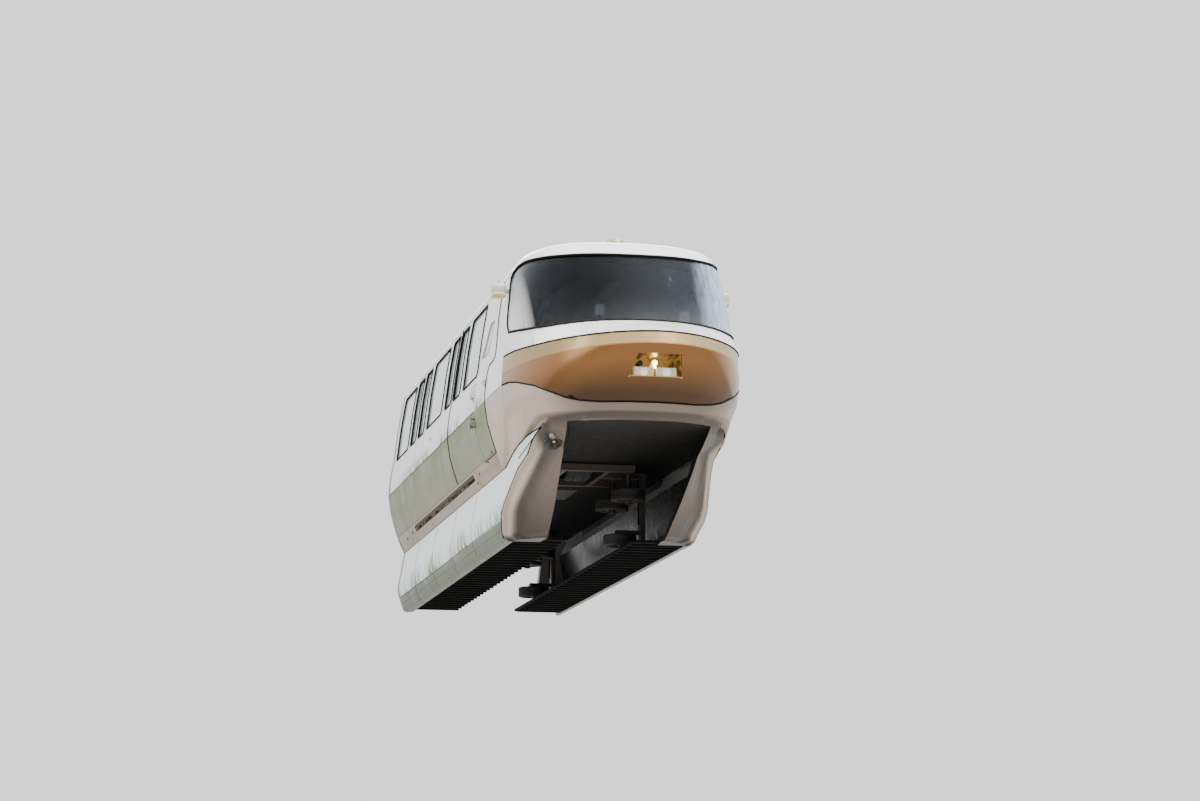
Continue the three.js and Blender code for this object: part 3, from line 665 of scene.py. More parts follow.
def make_weave():
    """Crossed threads of seat cloth with small flecks"""
    tree, given, result = group_of("Woven Cloth", sockets(("Thread", "Fleck"), ("Pitch",)), LOOK_OUTPUTS)
    place = node(tree, "ShaderNodeTexCoord").outputs["Object"]
    threads = []
    for direction in ("X", "Y", "Z"):
        wave = node(tree, "ShaderNodeTexWave", bands_direction=direction)
        tree.links.new(place, wave.inputs["Vector"])
        tree.links.new(given.outputs["Pitch"], wave.inputs["Scale"])
        threads.append(wave.outputs["Fac"])
    height = maths(tree, "MULTIPLY", maths(tree, "ADD", threads[0], threads[1]), threads[2])
    flecks = ranged(tree, noise(tree, 210.0, place, 2.0), 0.58, 0.64)
    cloud = ranged(tree, noise(tree, 4.0, place), 0.3, 0.7, 0, 0.35)
    shade = mixed(tree, cloud, given.outputs["Thread"], (0.03, 0.05, 0.08))
    tree.links.new(mixed(tree, flecks, shade, given.outputs["Fleck"]), result.inputs["Color"])
    tree.links.new(ranged(tree, height, 0.0, 2.0, 0.75, 0.95), result.inputs["Roughness"])
    tree.links.new(height, result.inputs["Height"])
    return tree


GROUPS = {"weathered": make_weathered_with_painted_shading(), "grain": make_grain(), "weave": make_weave()}


def finish(name, group, given, depth=0.0004, strength=0.3, **constants):
    """A material whose colour, roughness and bump come from one of the groups"""
    look = bpy.data.materials.new(name)
    look.use_nodes = True
    tree = look.node_tree
    shader = tree.nodes["Principled BSDF"]
    for label, value in constants.items():
        shader.inputs[label.replace("_", " ").title().replace("Ior", "IOR")].default_value = value
    placed = node(tree, "ShaderNodeGroup", node_tree=GROUPS[group])
    for label, value in given.items():
        placed.inputs[label].default_value = (*value, 1) if isinstance(value, (tuple, list)) else value
    bump = node(tree, "ShaderNodeBump", {"Distance": depth, "Strength": strength})
    tree.links.new(placed.outputs["Color"], shader.inputs["Base Color"])
    tree.links.new(placed.outputs["Roughness"], shader.inputs["Roughness"])
    tree.links.new(placed.outputs["Height"], bump.inputs["Height"])
    tree.links.new(bump.outputs["Normal"], shader.inputs["Normal"])
    return look


PAINT_USUAL = {
    "foot_line": -9.0, "foot_blend": 0.002, "legs": 0.0, "inside": UNDERCOAT_AND_DEEP_SHADE, "amount": 0.6, "line": 0.7,
    "rise": 0.1, "drop": 0.35, "gloss": 0.22, "coat_weight": 0.5,
}


def weathered(name, paint, grime, **settings):
    """Body paint from the usual settings and what differs. What the group doesn't take goes to the shader"""
    wanted = {"paint": paint, "grime": grime, "lower": paint, "foot": paint, **PAINT_USUAL, **settings}
    given = {label: wanted.pop(label.lower().replace(" ", "_")) for label, _ in PAINT_INPUTS}
    return finish(name, "weathered", given, 0.0006, 0.1, **wanted)


def grained(name, base, mottle, gloss, scale=300.0, dust=0.3, under=None, **constants):
    given = {
        "Base": base,
        "Mottle": mottle,
        "Dust": (0.32, 0.3, 0.26),
        "Dust Amount": dust,
        "Scale": scale,
        "Gloss": gloss,
        "Under": under or base,
        "Under Amount": 1.0 if under else 0.0,
    }
    return finish(name, "grain", given, 0.0008, 0.35, **constants)


def make_screen_reflection():
    """Painted reflection on the windscreen: pale and strong on the left, in bluish sky streaks on the right
    """
    tree, given, result = group_of(
        "Windscreen Haze", sockets((), ("Strength",)), sockets(("Color",), ("Mask",))
    )
    place = node(tree, "ShaderNodeTexCoord").outputs["Object"]
    split = node(tree, "ShaderNodeSeparateXYZ")
    tree.links.new(place, split.inputs[0])
    x, z = split.outputs["X"], split.outputs["Z"]
    # painted reflection, pale and strong towards the left end
    left = maths(tree, "SUBTRACT", sloped(tree, z, -0.06, 0.15), x)
    left = maths(tree, "POWER", ranged(tree, left, 1.16, 1.35), 1.1)
    # painted sky reflection in bluish streaks towards the right end
    streaks = ranged(tree, noise(tree, 7.0, place, 3.0, (4.0, 2.0, 0.12)), 0.42, 0.62, 0.55, 1.0)
    right = maths(tree, "POWER", ranged(tree, x, 0.6, 1.06), 1.3)
    right = maths(tree, "MULTIPLY", maths(tree, "MULTIPLY", right, 0.74), streaks)
    # a faint painted reflection over the whole glass
    veil = ranged(tree, x, -0.5, 0.7, 0.0, 0.012)
    whole = maths(tree, "MAXIMUM", maths(tree, "MAXIMUM", left, right), veil)
    whole = maths(tree, "MULTIPLY", whole, given.outputs["Strength"], clamp=True)
    tree.links.new(whole, result.inputs["Mask"])
    # colour of the painted reflection: pale on the left, sky blue on the right
    blue = ranged(tree, x, -0.6, 0.3)
    tree.links.new(mixed(tree, blue, (0.85, 0.84, 0.82), (0.55, 0.68, 0.85)), result.inputs["Color"])
    return tree


GROUPS["haze"] = make_screen_reflection()


# A sheet whose colour and opacity carry the windscreen's painted reflection
def painted_reflection_sheet(name):
    look = bpy.data.materials.new(name)
    look.use_nodes = True
    tree = look.node_tree
    shader = tree.nodes["Principled BSDF"]
    shader.inputs["Roughness"].default_value = 0.35
    mask = node(tree, "ShaderNodeGroup", node_tree=GROUPS["haze"])
    mask.inputs["Strength"].default_value = 0.97
    tree.links.new(mask.outputs["Color"], shader.inputs["Base Color"])
    tree.links.new(mask.outputs["Mask"], shader.inputs["Alpha"])
    return look


LOOKS = {}


def make_looks(colours):
    white, algae = tuple(colours.white), tuple(colours.algae)
    soil = (0.28, 0.26, 0.2)
    threads = {"Thread": tuple(colours.seats), "Fleck": (0.35, 0.4, 0.45), "Pitch": 160.0}
    LOOKS.update(
        nose_white=weathered("Nose White Paint", white, (0.5, 0.49, 0.42), amount=0.2, line=1.1, drop=0.9),
        # Lower, olive below the belt: painted shade and a painted reflection of greenery, along with dirt
        side_white=weathered(
            "Side White Paint", white, algae, lower=(0.21, 0.215, 0.145), foot=(0.35, 0.28, 0.225),
            foot_line=0.115, inside=(0.42, 0.43, 0.43), coat_weight=0.0, specular_ior_level=0.2, gloss=0.4,
            amount=1.8, line=0.692, rise=0.16, drop=0.5,
        ),
        # Foot here is only the colour of the painted shade on the legs
        fairing=weathered(
            "Fairing Paint", (0.48, 0.38, 0.305), soil, foot=(0.085, 0.068, 0.058), legs=1.0,
            coat_weight=0.0, specular_ior_level=0.15, amount=0.25, line=0.7, drop=1.8, gloss=0.3,
        ),
        skirt=weathered(
            "Skirt Paint", (0.78, 0.82, 0.84), algae, lower=(0.125, 0.145, 0.12), amount=1.8,
            coat_weight=0.0, specular_ior_level=0.2, line=-0.712, rise=0.24, drop=0.3, gloss=0.25,
        ),
        roof=weathered(
            "Roof Paint", (0.72, 0.73, 0.72), soil, inside=(0.5, 0.5, 0.49), amount=0.3, line=2.4, drop=0.6,
            gloss=0.35,
        ),
        # Paint, lighter gold above the crease: painted light and reflection on the upper facet. Foot darkens
        # the chin towards its bottom edge: painted shade on its underside
        gold=weathered(
            "Gold Paint", (0.36, 0.245, 0.105), (0.2, 0.1, 0.03), lower=tuple(colours.gold),
            foot=(0.055, 0.022, 0.004), foot_line=0.66, foot_blend=0.3, inside=(0.5, 0.33, 0.12), amount=0.1,
            line=0.815, rise=0.02, drop=0.9, gloss=0.2, metallic=0.5, coat_weight=0.08,
        ),
        trim=grained("White Trim", white, (0.6, 0.6, 0.57), 0.3, 300, 0.2, coat_weight=0.3),
        rubber=grained(
            "Black Rubber", (0.003, 0.003, 0.003), (0.009, 0.009, 0.008), 0.85, 420, specular_ior_level=0.1
        ),
        grey_rubber=grained("Grey Bellows", tuple(colours.bellows), (0.2, 0.2, 0.19), 0.6, 500),
        tyre=grained("Tyre Rubber", (0.02, 0.02, 0.02), (0.06, 0.055, 0.05), 0.75, 260, 0.5),
        steel=grained(
            "Running Gear Steel", (0.09, 0.09, 0.095), (0.14, 0.1, 0.07), 0.5, 180, 0.6, metallic=0.6
        ),
        bright=grained("Brushed Metal", (0.6, 0.6, 0.59), (0.42, 0.42, 0.41), 0.28, 600, 0.1, metallic=0.9),
        dark=grained("Dark Plastic", (0.02, 0.021, 0.023), (0.045, 0.045, 0.047), 0.45, 500),
        grey=grained("Grey Plastic", (0.32, 0.33, 0.34), (0.25, 0.25, 0.26), 0.5, 450),
        floor=grained(
            "Floor Cover", (0.1, 0.11, 0.12), (0.16, 0.16, 0.16), 0.7, 700, 0.4, under=UNDERCOAT_AND_DEEP_SHADE,
            specular_ior_level=0.15,
        ),
        amber=grained(
            "Beacon Lens", (0.55, 0.5, 0.3), (0.42, 0.36, 0.2), 0.12, 90, 0.5, transmission_weight=0.35,
            coat_weight=0.6,
        ),
        pod_foot=grained("Pod Underside", (0.72, 0.55, 0.33), (0.6, 0.45, 0.28), 0.3, 400, 0.0),
        cloth=finish("Seat Cloth", "weave", threads, 0.0006, 0.6, sheen_weight=0.3),
        screen=grained(
            "Windscreen Glass", (0.1, 0.17, 0.28), (0.11, 0.18, 0.29), 0.02, 2.0, 0.0,
            transmission_weight=1.0, ior=1.22,
        ),
        # Opaque pale glass: a painted sky reflection in the side windows
        pane=grained("Window Glass", (0.66, 0.69, 0.72), (0.7, 0.73, 0.76), 0.06, 2.0, 0.05, metallic=0.4),
        # the sheet of painted reflection over the windscreen
        haze=painted_reflection_sheet("Windscreen Haze"),
        pod=grained("Pod Shell", (0.5, 0.5, 0.49), (0.42, 0.42, 0.41), 0.3, 300, 0.2, coat_weight=0.3),
        lens=grained(
            "Lamp Glass", (0.97, 0.97, 0.95), (0.93, 0.93, 0.9), 0.03, 20, 0.0, transmission_weight=0.95,
            ior=1.45,
        ),
        reflector_gold=grained(
            "Gold Reflector", (0.62, 0.42, 0.16), (0.5, 0.32, 0.1), 0.22, 120, 0.1, metallic=0.9
        ),
        gloss_black=grained(
            "Gloss Black", (0.015, 0.015, 0.016), (0.04, 0.04, 0.04), 0.25, 300, 0.0, coat_weight=0.5
        ),
        grille=grained("Torn Grille", (0.03, 0.03, 0.03), (0.34, 0.33, 0.3), 0.6, 60, 0.4),
        steel_bright=grained(
            "Machined Steel", (0.22, 0.22, 0.22), (0.14, 0.12, 0.1), 0.4, 200, 0.4, metallic=0.8
        ),
        # The glow is painted sunlight on the reflectors; the square lamps are not lit
        mirror=grained(
            "Lamp Reflector", (0.88, 0.87, 0.83), (0.8, 0.78, 0.72), 0.1, 150, 0.0, metallic=1.0,
            emission_color=(1.0, 0.94, 0.8, 1), emission_strength=0.7,
        ),
        # The glow is painted sunlight on the lamp cases
        lamp_case=grained(
            "Lamp Case", (0.75, 0.72, 0.62), (0.6, 0.56, 0.46), 0.3, 150, 0.0,
            emission_color=(1.0, 0.88, 0.65, 1), emission_strength=0.28,
        ),
        lit=grained(
            "Lit Lamp", (1.0, 0.85, 0.5), (1.0, 0.9, 0.6), 0.4, 50, 0.0,
            emission_color=(1.0, 0.78, 0.35, 1), emission_strength=9.0,
        ),
        # The cases of the cab display and monitor glow a little so that they show through the dark
        # windscreen: a painted glow over the whole case
        cab_case=grained(
            "Cab Case", (0.8, 0.62, 0.45), (0.7, 0.54, 0.4), 0.4, 300, 0.2,
            emission_color=(1.0, 0.62, 0.4, 1), emission_strength=0.4,
        ),
        green_paint=grained("Green Tag", (0.01, 0.16, 0.07), (0.02, 0.2, 0.1), 0.4, 50, 0.1),
    )


STUDIO_HALF = 200
STUDIO_FLOOR = -5.52
# Name, place, turn in degrees, width, height and power in watts
LIGHTS = (
    ("key", (6.0, -14.0, 24.0), (29, 0, 28.6), 15.0, 7.5, 17000),
    ("side", (-17.0, -5.0, 7.0), (68, 0, -74), 12.0, 12.0, 1800),
    ("back", (4.0, 20.0, 10.0), (-62, 0, -10), 10.0, 10.0, 1400),
)
CAMERA_PLACE = (-7.239, -36.645, -5.457)
CAMERA_RIGHT = (0.9786, -0.206, 0.0)
CAMERA_AHEAD = (0.2028, 0.9637, 0.1735)
CAMERA_LENS = 93.07


class CAR_OT_stage(bpy.types.Operator):
    """Adds the floor, the soft lights and the camera"""

    bl_idname = "car.stage"
    bl_label = "Stage"

    def execute(self, context):
        bpy.ops.object.select_all(action="DESELECT")
        bpy.ops.mesh.primitive_plane_add(size=2 * STUDIO_HALF, location=(0, 0, STUDIO_FLOOR))
        floor = context.object
        floor.name = "studio_floor"
        settle(floor)
        pale = grained("Studio Floor", (0.36, 0.355, 0.345), (0.38, 0.375, 0.365), 0.8, 1.0, 0.0)
        floor.data.materials.append(pale)
        for name, place, turn, width, height, power in LIGHTS:
            bpy.ops.object.light_add(type="AREA", location=place, rotation=[math.radians(a) for a in turn])
            lamp = context.object
            lamp.name = f"light_{name}"
            lamp.data.shape = "RECTANGLE"
            lamp.data.size, lamp.data.size_y = width, height
            lamp.data.energy = power
            lamp.data.color = (1.0, 0.97, 0.92) if name == "key" else (0.94, 0.97, 1.0)
        world = bpy.data.worlds.new("Studio")
        world.use_nodes = True
        tree = world.node_tree
        sky = tree.nodes["Background"]
        split = node(tree, "ShaderNodeSeparateXYZ")
        tree.links.new(node(tree, "ShaderNodeTexCoord").outputs["Generated"], split.inputs[0])
        rise = ranged(tree, split.outputs["Z"], -0.1, 0.7)
        behind = ranged(tree, split.outputs["Y"], -0.5, 0.5, 0.0, 0.66)
        tone = maths(tree, "MAXIMUM", rise, behind)
        tree.links.new(mixed(tree, tone, (0.16, 0.17, 0.18), (1.0, 1.0, 1.0)), sky.inputs["Color"])
        sky.inputs["Strength"].default_value = 2.0
        context.scene.world = world
        camera = bpy.data.objects.new("camera", bpy.data.cameras.new("camera"))
        context.scene.collection.objects.link(camera)
        right, ahead = Vector(CAMERA_RIGHT), Vector(CAMERA_AHEAD)
        up = right.cross(ahead)
        turn = Matrix((right, up, -ahead)).transposed().to_4x4()
        camera.matrix_world = Matrix.Translation(CAMERA_PLACE) @ turn
        camera.data.sensor_width = 36
        camera.data.lens = CAMERA_LENS
        camera.data.clip_end = 500
        context.scene.camera = camera
        return {"FINISHED"}


PANEL_LOOKS = {
    "roof": ("roof", "white_paint"),
    "side_wall_left": ("side_white", "white_paint"),
    "side_wall_right": ("side_white", "white_paint"),
    "nose_surround": ("nose_white", "white_paint"),
    "chin_panel": ("gold", "gold_paint"),
    "lower_fairing": ("fairing", "white_paint"),
    "windscreen": ("screen", "dark_glass"),
    "skirt_left": ("skirt", "white_paint"),
    "skirt_right": ("skirt", "white_paint"),
    "gangway_bellows": ("grey_rubber", "grey_rubber"),
}


class CAR_OT_panels(bpy.types.Operator):
    """Copies the body's panels, merges and smooths them, and gives them their paint"""

    bl_idname = "car.panels"
    bl_label = "Body Panels"

    def execute(self, context):
        wanted = dict(PANEL_LOOKS)
        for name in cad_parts:
            if name.startswith("door_"):
                wanted[name] = ("side_white", "white_paint")
            elif name.startswith("cab_door_glass") or name.startswith("side_glass"):
                # window panes get the pale glass with the painted reflection
                wanted[name] = ("pane", "window_glass")
            elif name.startswith("cab_door"):
                wanted[name] = ("side_white", "white_paint")
        for name, (look, slot) in wanted.items():
            panel = copied(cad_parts[name], f"{name}_finished")
            with editing(panel, "VERT"):
                bpy.ops.mesh.select_all(action="SELECT")
                bpy.ops.mesh.remove_doubles(threshold=2e-5)
            body = BODY
            if name.startswith("cab_door"):
                body = f"cab_door_{'left' if 'left' in name else 'right'}_body"
            if name == "lower_fairing":
                sculpt_legs(panel)
            if name == "chin_panel":
                with editing(panel, "EDGE"):
                    pick(panel, lambda edge: all(abs(v.co.z - CREASE) < 1e-4 for v in edge.verts), "edges")
                    bpy.ops.mesh.mark_sharp()
            dress(panel, look, body, (name,), PANEL_ANGLE)
        return {"FINISHED"}


# Lines on the fairing's legs in side view, as (y, z): the rim of the recess, and the valley in its front
LEG_RIM = (
    (-2.2, -0.7), (-2.6, -0.2), (-3.05, -0.06), (-3.43, 0.02), (-3.69, 0.11), (-3.89, 0.2), (-4.07, 0.235),
    (-4.6, 0.2),
)
LEG_VALLEY = (
    (-3.9, -0.1), (-3.67, -0.21), (-3.54, -0.29), (-3.41, -0.37), (-3.17, -0.53), (-2.95, -0.64),
    (-2.5, -0.88),
)
LEG_DEPTH = 0.055
LEG_INNER = 0.62
VALLEY_DEPTH = 0.045
# The crease where the fairing turns to the side, as (z, y), and how far the front is hollowed beside it
LEG_CREASE = ((-0.2, -1.9), (-0.05, -2.31), (0.05, -2.61), (0.2, -2.89), (0.34, -3.07), (0.6, -3.2))
HOLLOW_DEPTH = 0.03
HOLLOW_REACH = 0.2
LEG_STEP = 0.024
LEG_FRONT = -4.7
LEG_FOOT = -0.92
LEG_TOP = 0.45
LEG_BACK = -2.2


def distance_to(line, y, z):
    best = 9.0
    for (y0, z0), (y1, z1) in zip(line, line[1:]):
        run = Vector((y1 - y0, z1 - z0))
        share = max(0.0, min(1.0, ((y - y0) * run.x + (z - z0) * run.y) / run.length_squared))
        best = min(best, math.hypot(y - y0 - share * run.x, z - z0 - share * run.y))
    return best


def eased(value):
    value = max(0.0, min(1.0, value))
    return value * value * (3 - 2 * value)


def sculpt_legs(panel):
    """Cuts the fairing's legs into small facets, then presses in the recess and valley of their front"""
    with editing(panel, "FACE"):
        cuts = [((0, LEG_FRONT + LEG_STEP * i, 0), (0, 1, 0)) for i in range(105)]
        cuts += [((0, 0, LEG_FOOT + LEG_STEP * i), (0, 0, 1)) for i in range(58)]
        for place, normal in cuts:
            bpy.ops.mesh.select_all(action="SELECT")
            bpy.ops.mesh.bisect(plane_co=place, plane_no=normal)
    for vertex in panel.data.vertices:
        x, y, z = vertex.co
        if z > LEG_TOP or y > LEG_BACK:
            continue
        near_skirt = eased((distance_to(SKIRT_EDGE[1:], y, z) - 0.012) / 0.07)
        ahead = max(0.0, level(LEG_CREASE, z) - y) / HOLLOW_REACH
        hollow = HOLLOW_DEPTH * ahead * math.exp(1 - ahead) * eased((LEG_TOP - z) / 0.15) * near_skirt
        vertex.co += Vector((-math.copysign(0.8, x), 0.6, 0.0)) * hollow
        below = level(tuple(reversed(LEG_RIM)), y) - z
        if below <= 0 or abs(x) < LEG_INNER:
            continue
        inside = eased(below / 0.05) * eased((abs(x) - LEG_INNER) / 0.12)
        valley = math.exp(-((distance_to(LEG_VALLEY, y, z) / 0.07) ** 2))
        depth = near_skirt * inside * (LEG_DEPTH + VALLEY_DEPTH * valley)
        vertex.co += Vector((-math.copysign(0.6, x), 0.75, 0.1)).normalized() * depth


NODE_LOOKS = {
    "skirt_liner": "rubber",
    "camera_pod": "trim",
    "floor_pan": "floor",
    "rear_bulkhead": "trim",
    "driver_desk": "dark",
    "traction_motor": "steel",
    "bogie_frame": "steel",
    "load_wheel": "tyre",
    "guide_wheel": "tyre",
    # the headlamp unit's reflector look carries a painted glow of sunlight
    "headlamp_unit": "mirror",
    "roof_beacon": "amber",
    "driver_seat": "cloth",
    "seat_": "cloth",
}


class CAR_OT_carried_nodes(bpy.types.Operator):
    """Gives the nodes that are shown as they are their finishes"""

    bl_idname = "car.carried_nodes"
    bl_label = "Carried Nodes"

    def execute(self, context):
        for name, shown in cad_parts.items():
            for start, look in NODE_LOOKS.items():
                if name.startswith(start):
                    shown.data.materials.clear()
                    shown.data.materials.append(LOOKS[look])
        return {"FINISHED"}


def both_sides(piece, look, body=BODY):
    """Dresses a piece of the left side and adds its mirrored twin"""
    stem = piece.name
    twin = copied(piece, f"{stem}_right", mirror=True)
    piece.name = f"{stem}_left"
    for part, side in ((piece, "left"), (twin, "right")):
        dress(part, look, body.format(side=side))


def upright(y, low, high):
    """A line up the body's side between two heights, with a point at each row of the section between them"""
    return [on_wall(y, z) for z in (low, *[row for row, _ in WALL_ROWS if low < row < high], high)]


class CAR_OT_seams(bpy.types.Operator):
    """Lays the rubber seams of the nose, the body side and the skirts"""

    bl_idname = "car.seams"
    bl_label = "Seams"

    def execute(self, context):
        sizes = context.scene.car_sizes
        seal, joint = sizes.seal, sizes.joint
        end = REAR - 0.01
        for name, line in (("chin_top_seam", CHIN_TOP), ("chin_foot_seam", CHIN_FOOT)):
            run = round_nose(line, line[-1][0])
            dress(bead(name, [run], seal, sides=2), "rubber")
        chin_end = on_skin(((-3.24, 0.7), (-3.215, 1.0)))
        both_sides(bead("chin_end_seam", [chin_end], joint - 0.002), "side_white")
        both_sides(
            bead("belt_seam", [along_wall(-1.43, end, BELT)], joint - 0.0005), "rubber"
        )
        nose_belt = on_skin(((-3.26, BELT), (CAB_SEAM - 0.01, BELT)))
        both_sides(bead("nose_belt_seam", [nose_belt], joint - 0.0025), "rubber")
        front, rear = DOORS.values()
        both_sides(bead("front_door_seal", [upright(front, 0.12, DOOR_Z[1])], seal), "rubber")
        around = [upright(rear, *DOOR_Z)]
        for centre in DOORS.values():
            left, right = centre - DOOR_HALF, centre + DOOR_HALF
            around += [upright(y, *DOOR_Z) for y in (left, right)]
            around += [along_wall(left, right, z) for z in DOOR_Z]
        both_sides(bead("door_edge_joint", around, joint - 0.003), "grey")
        panels = [upright(4.62, WAIST + 0.01, BELT - 0.01)]
        panels += [upright(y, WAIST + 0.02, 0.11) for y in (-0.78, 1.3, 2.9, 4.3)]
        panels.append(along_wall(CAB_SEAM + 0.03, REAR - 0.02, 0.115))
        both_sides(bead("side_panel_joint", panels, joint - 0.003), "rubber")
        both_sides(bead("waist_seam", [along_wall(-2.28, end, WAIST)], joint), "rubber")
        edges = [on_skin(SKIRT_EDGE[1:], 0.05), on_skin(SKIRT_EDGE[:2], 0.05)]
        both_sides(bead("skirt_front_seam", edges, joint + 0.002, sides=2), "rubber")
        inner = on_skin(((-3.98, 0.085), (-3.83, 0.04), (-3.46, -0.04), (-3.05, -0.1)), 0.05)
        both_sides(bead("skirt_tongue_joint", [inner], joint, sides=2), "rubber")
        skirt = [upright(y, -0.9, WAIST - 0.02) for y in SKIRT_SEAMS]
        skirt.append([on_wall(-2.1, SKIRT_FOLD), on_wall(end, SKIRT_FOLD - 0.03)])
        both_sides(bead("skirt_panel_joint", skirt, joint - 0.0022), "rubber")
        roll = [along_wall(-2.1, end, z, 0.002) for z in (-0.8, -0.885)]
        both_sides(bead("skirt_roll_bead", roll, joint), "skirt")
        drip = along_wall(-2.7, REAR - 0.02, ROOF_SEAM + 0.002)
        both_sides(bead("roof_drip_rail", [drip], 0.009), "trim")
        return {"FINISHED"}


class CAR_OT_windows(bpy.types.Operator):
    """Adds gaskets round the side windows and panes in the door leaves"""

    bl_idname = "car.windows"
    bl_label = "Side Windows"

    def execute(self, context):
        radius = context.scene.car_sizes.gasket
        leaves = [
            sorted((centre + way * LEAF_WINDOW[0], centre + way * LEAF_WINDOW[1]))
            for centre in DOORS.values()
            for way in (-1, 1)
        ]
        holes = [tuple(y) for y in leaves] + list(FIXED_WINDOWS)
        loops = []
        for y in holes:
            line = [tuple(point) for point in rounded(y, WINDOW_Z, 0.05)]
            line = divided([*line, line[0]], 0.14)[:-1]
            loops.append([on_wall(point[0], point[1], 0.001) for point in line])
        both_sides(bead("window_gaskets", loops, radius, closed=True), "rubber")
        bpy.ops.object.select_all(action="DESELECT")
        width = LEAF_WINDOW[1] - LEAF_WINDOW[0]
        height = WINDOW_Z[1] - WINDOW_Z[0]
        rows = 8
        bpy.ops.mesh.primitive_grid_add(
            x_subdivisions=2,
            y_subdivisions=rows,
            size=1,
            location=(0, 0, 0),
            rotation=(math.pi / 2, 0, -math.pi / 2),
        )
        pane = context.object
        pane.name = "leaf_pane"
        pane.scale = (width - 0.002, height - 0.002, 1)
        settle(pane)
        middle = sum(WINDOW_Z) / 2
        with editing(pane, "VERT"):
            for i in range(rows + 1):
                z = -height / 2 + height * i / rows
                pick(pane, lambda v: abs(v.co.z - z) < 0.02, "verts")
                bpy.ops.transform.translate(value=(-wall_x(z + middle) + 0.012, 0, 0))
            bpy.ops.mesh.select_all(action="SELECT")
            bpy.ops.mesh.solidify(thickness=0.006)
        outward(pane)
        for number, y in enumerate(leaves):
            copy = copied(pane, f"leaf_pane_{number}", (0, sum(y) / 2, middle))
            # pale glass with the painted reflection
            both_sides(copy, "pane")
        bpy.data.objects.remove(pane)
        return {"FINISHED"}


def faces_inward(face):
    middle = face.calc_center_median()
    return face.normal.dot(Vector((middle.x, middle.y - NOSE_CENTRE, 0)).normalized()) < 0.3


class CAR_OT_windscreen(bpy.types.Operator):
    """Adds the windscreen's gasket and the gear seen through it"""

    bl_idname = "car.windscreen"
    bl_label = "Windscreen"

    def execute(self, context):
        radius = context.scene.car_sizes.gasket
        foot = round_nose(SCREEN_FOOT, -3.32)
        top = round_nose(SCREEN_TOP, -3.13)
        left = on_skin(SCREEN_SIDE, 0.05)
        right = [Vector((-p.x, p.y, p.z)) for p in left]
        loop = left + top[1:-1] + right[::-1] + foot[::-1][1:-1]
        dress(bead("windscreen_gasket", [loop], radius + 0.002, closed=True), "rubber")
        # A thin sheet over the windscreen's outer faces that carries the painted reflection
        film = copied(bpy.data.objects["windscreen_finished"], "windscreen_haze")
        with editing(film, "FACE"):
            pick(film, faces_inward, "faces")
            bpy.ops.mesh.delete(type="FACE")
            bpy.ops.mesh.select_all(action="SELECT")
            bpy.ops.transform.shrink_fatten(value=0.0016)
            bpy.ops.mesh.solidify(thickness=0.0006)
        dress(film, "haze", degrees=PANEL_ANGLE)
        stands = []
        for name, x, y, z in (("cab_display", -0.4, -4.14, 1.335), ("cab_monitor", 0.57, -4.05, 1.31)):
            unit = block(
                name, (x - 0.043, y - 0.05, z), (x + 0.043, y + 0.05, z + 0.115), 0.008, 3,
                [((0, -1, 0), 0.012, -0.008)],
            )
            # case with a painted glow
            dress(unit, "cab_case")
            stands.append(
                block("stand", (x - 0.012, y - 0.02, 1.04), (x + 0.012, y + 0.02, z + 0.01), 0.004, 2)
            )
        dress(joined("cab_stands", stands), "rubber")
        rail = [
            (-0.2, -4.1, 1.06), (-0.2, -4.1, 1.2), (-0.17, -4.1, 1.23), (0.82, -4.02, 1.23),
            (0.86, -4.02, 1.2), (0.88, -4.02, 1.06),
        ]
        dress(bead("desk_rail", [rail], 0.011, sides=2), "bright")
        hood = block(
            "desk_hood", (-0.74, -4.12, 1.0), (0.94, -3.64, 1.055), 0.015, 3, [((0, 0, 1), 0.04, -0.02)]
        )
        dress(hood, "rubber")
        sensor = block(
            "screen_sensor", (-0.045, -4.06, 1.972), (0.045, -3.99, 2.0), 0.006, 2,
            [((0, 0, -1), 0.012, 0.006)],
        )
        dress(sensor, "grey")
        levers = [turned(f"lever_{i}", LEVER, "z", (x, -3.72, 1.05), 12) for i, x in enumerate((-0.22, 0.22))]
        dress(joined("desk_levers", levers), "dark")
        return {"FINISHED"}


def ring_of(line, step=0.05):
    return divided([*line, line[0]], step)[:-1]


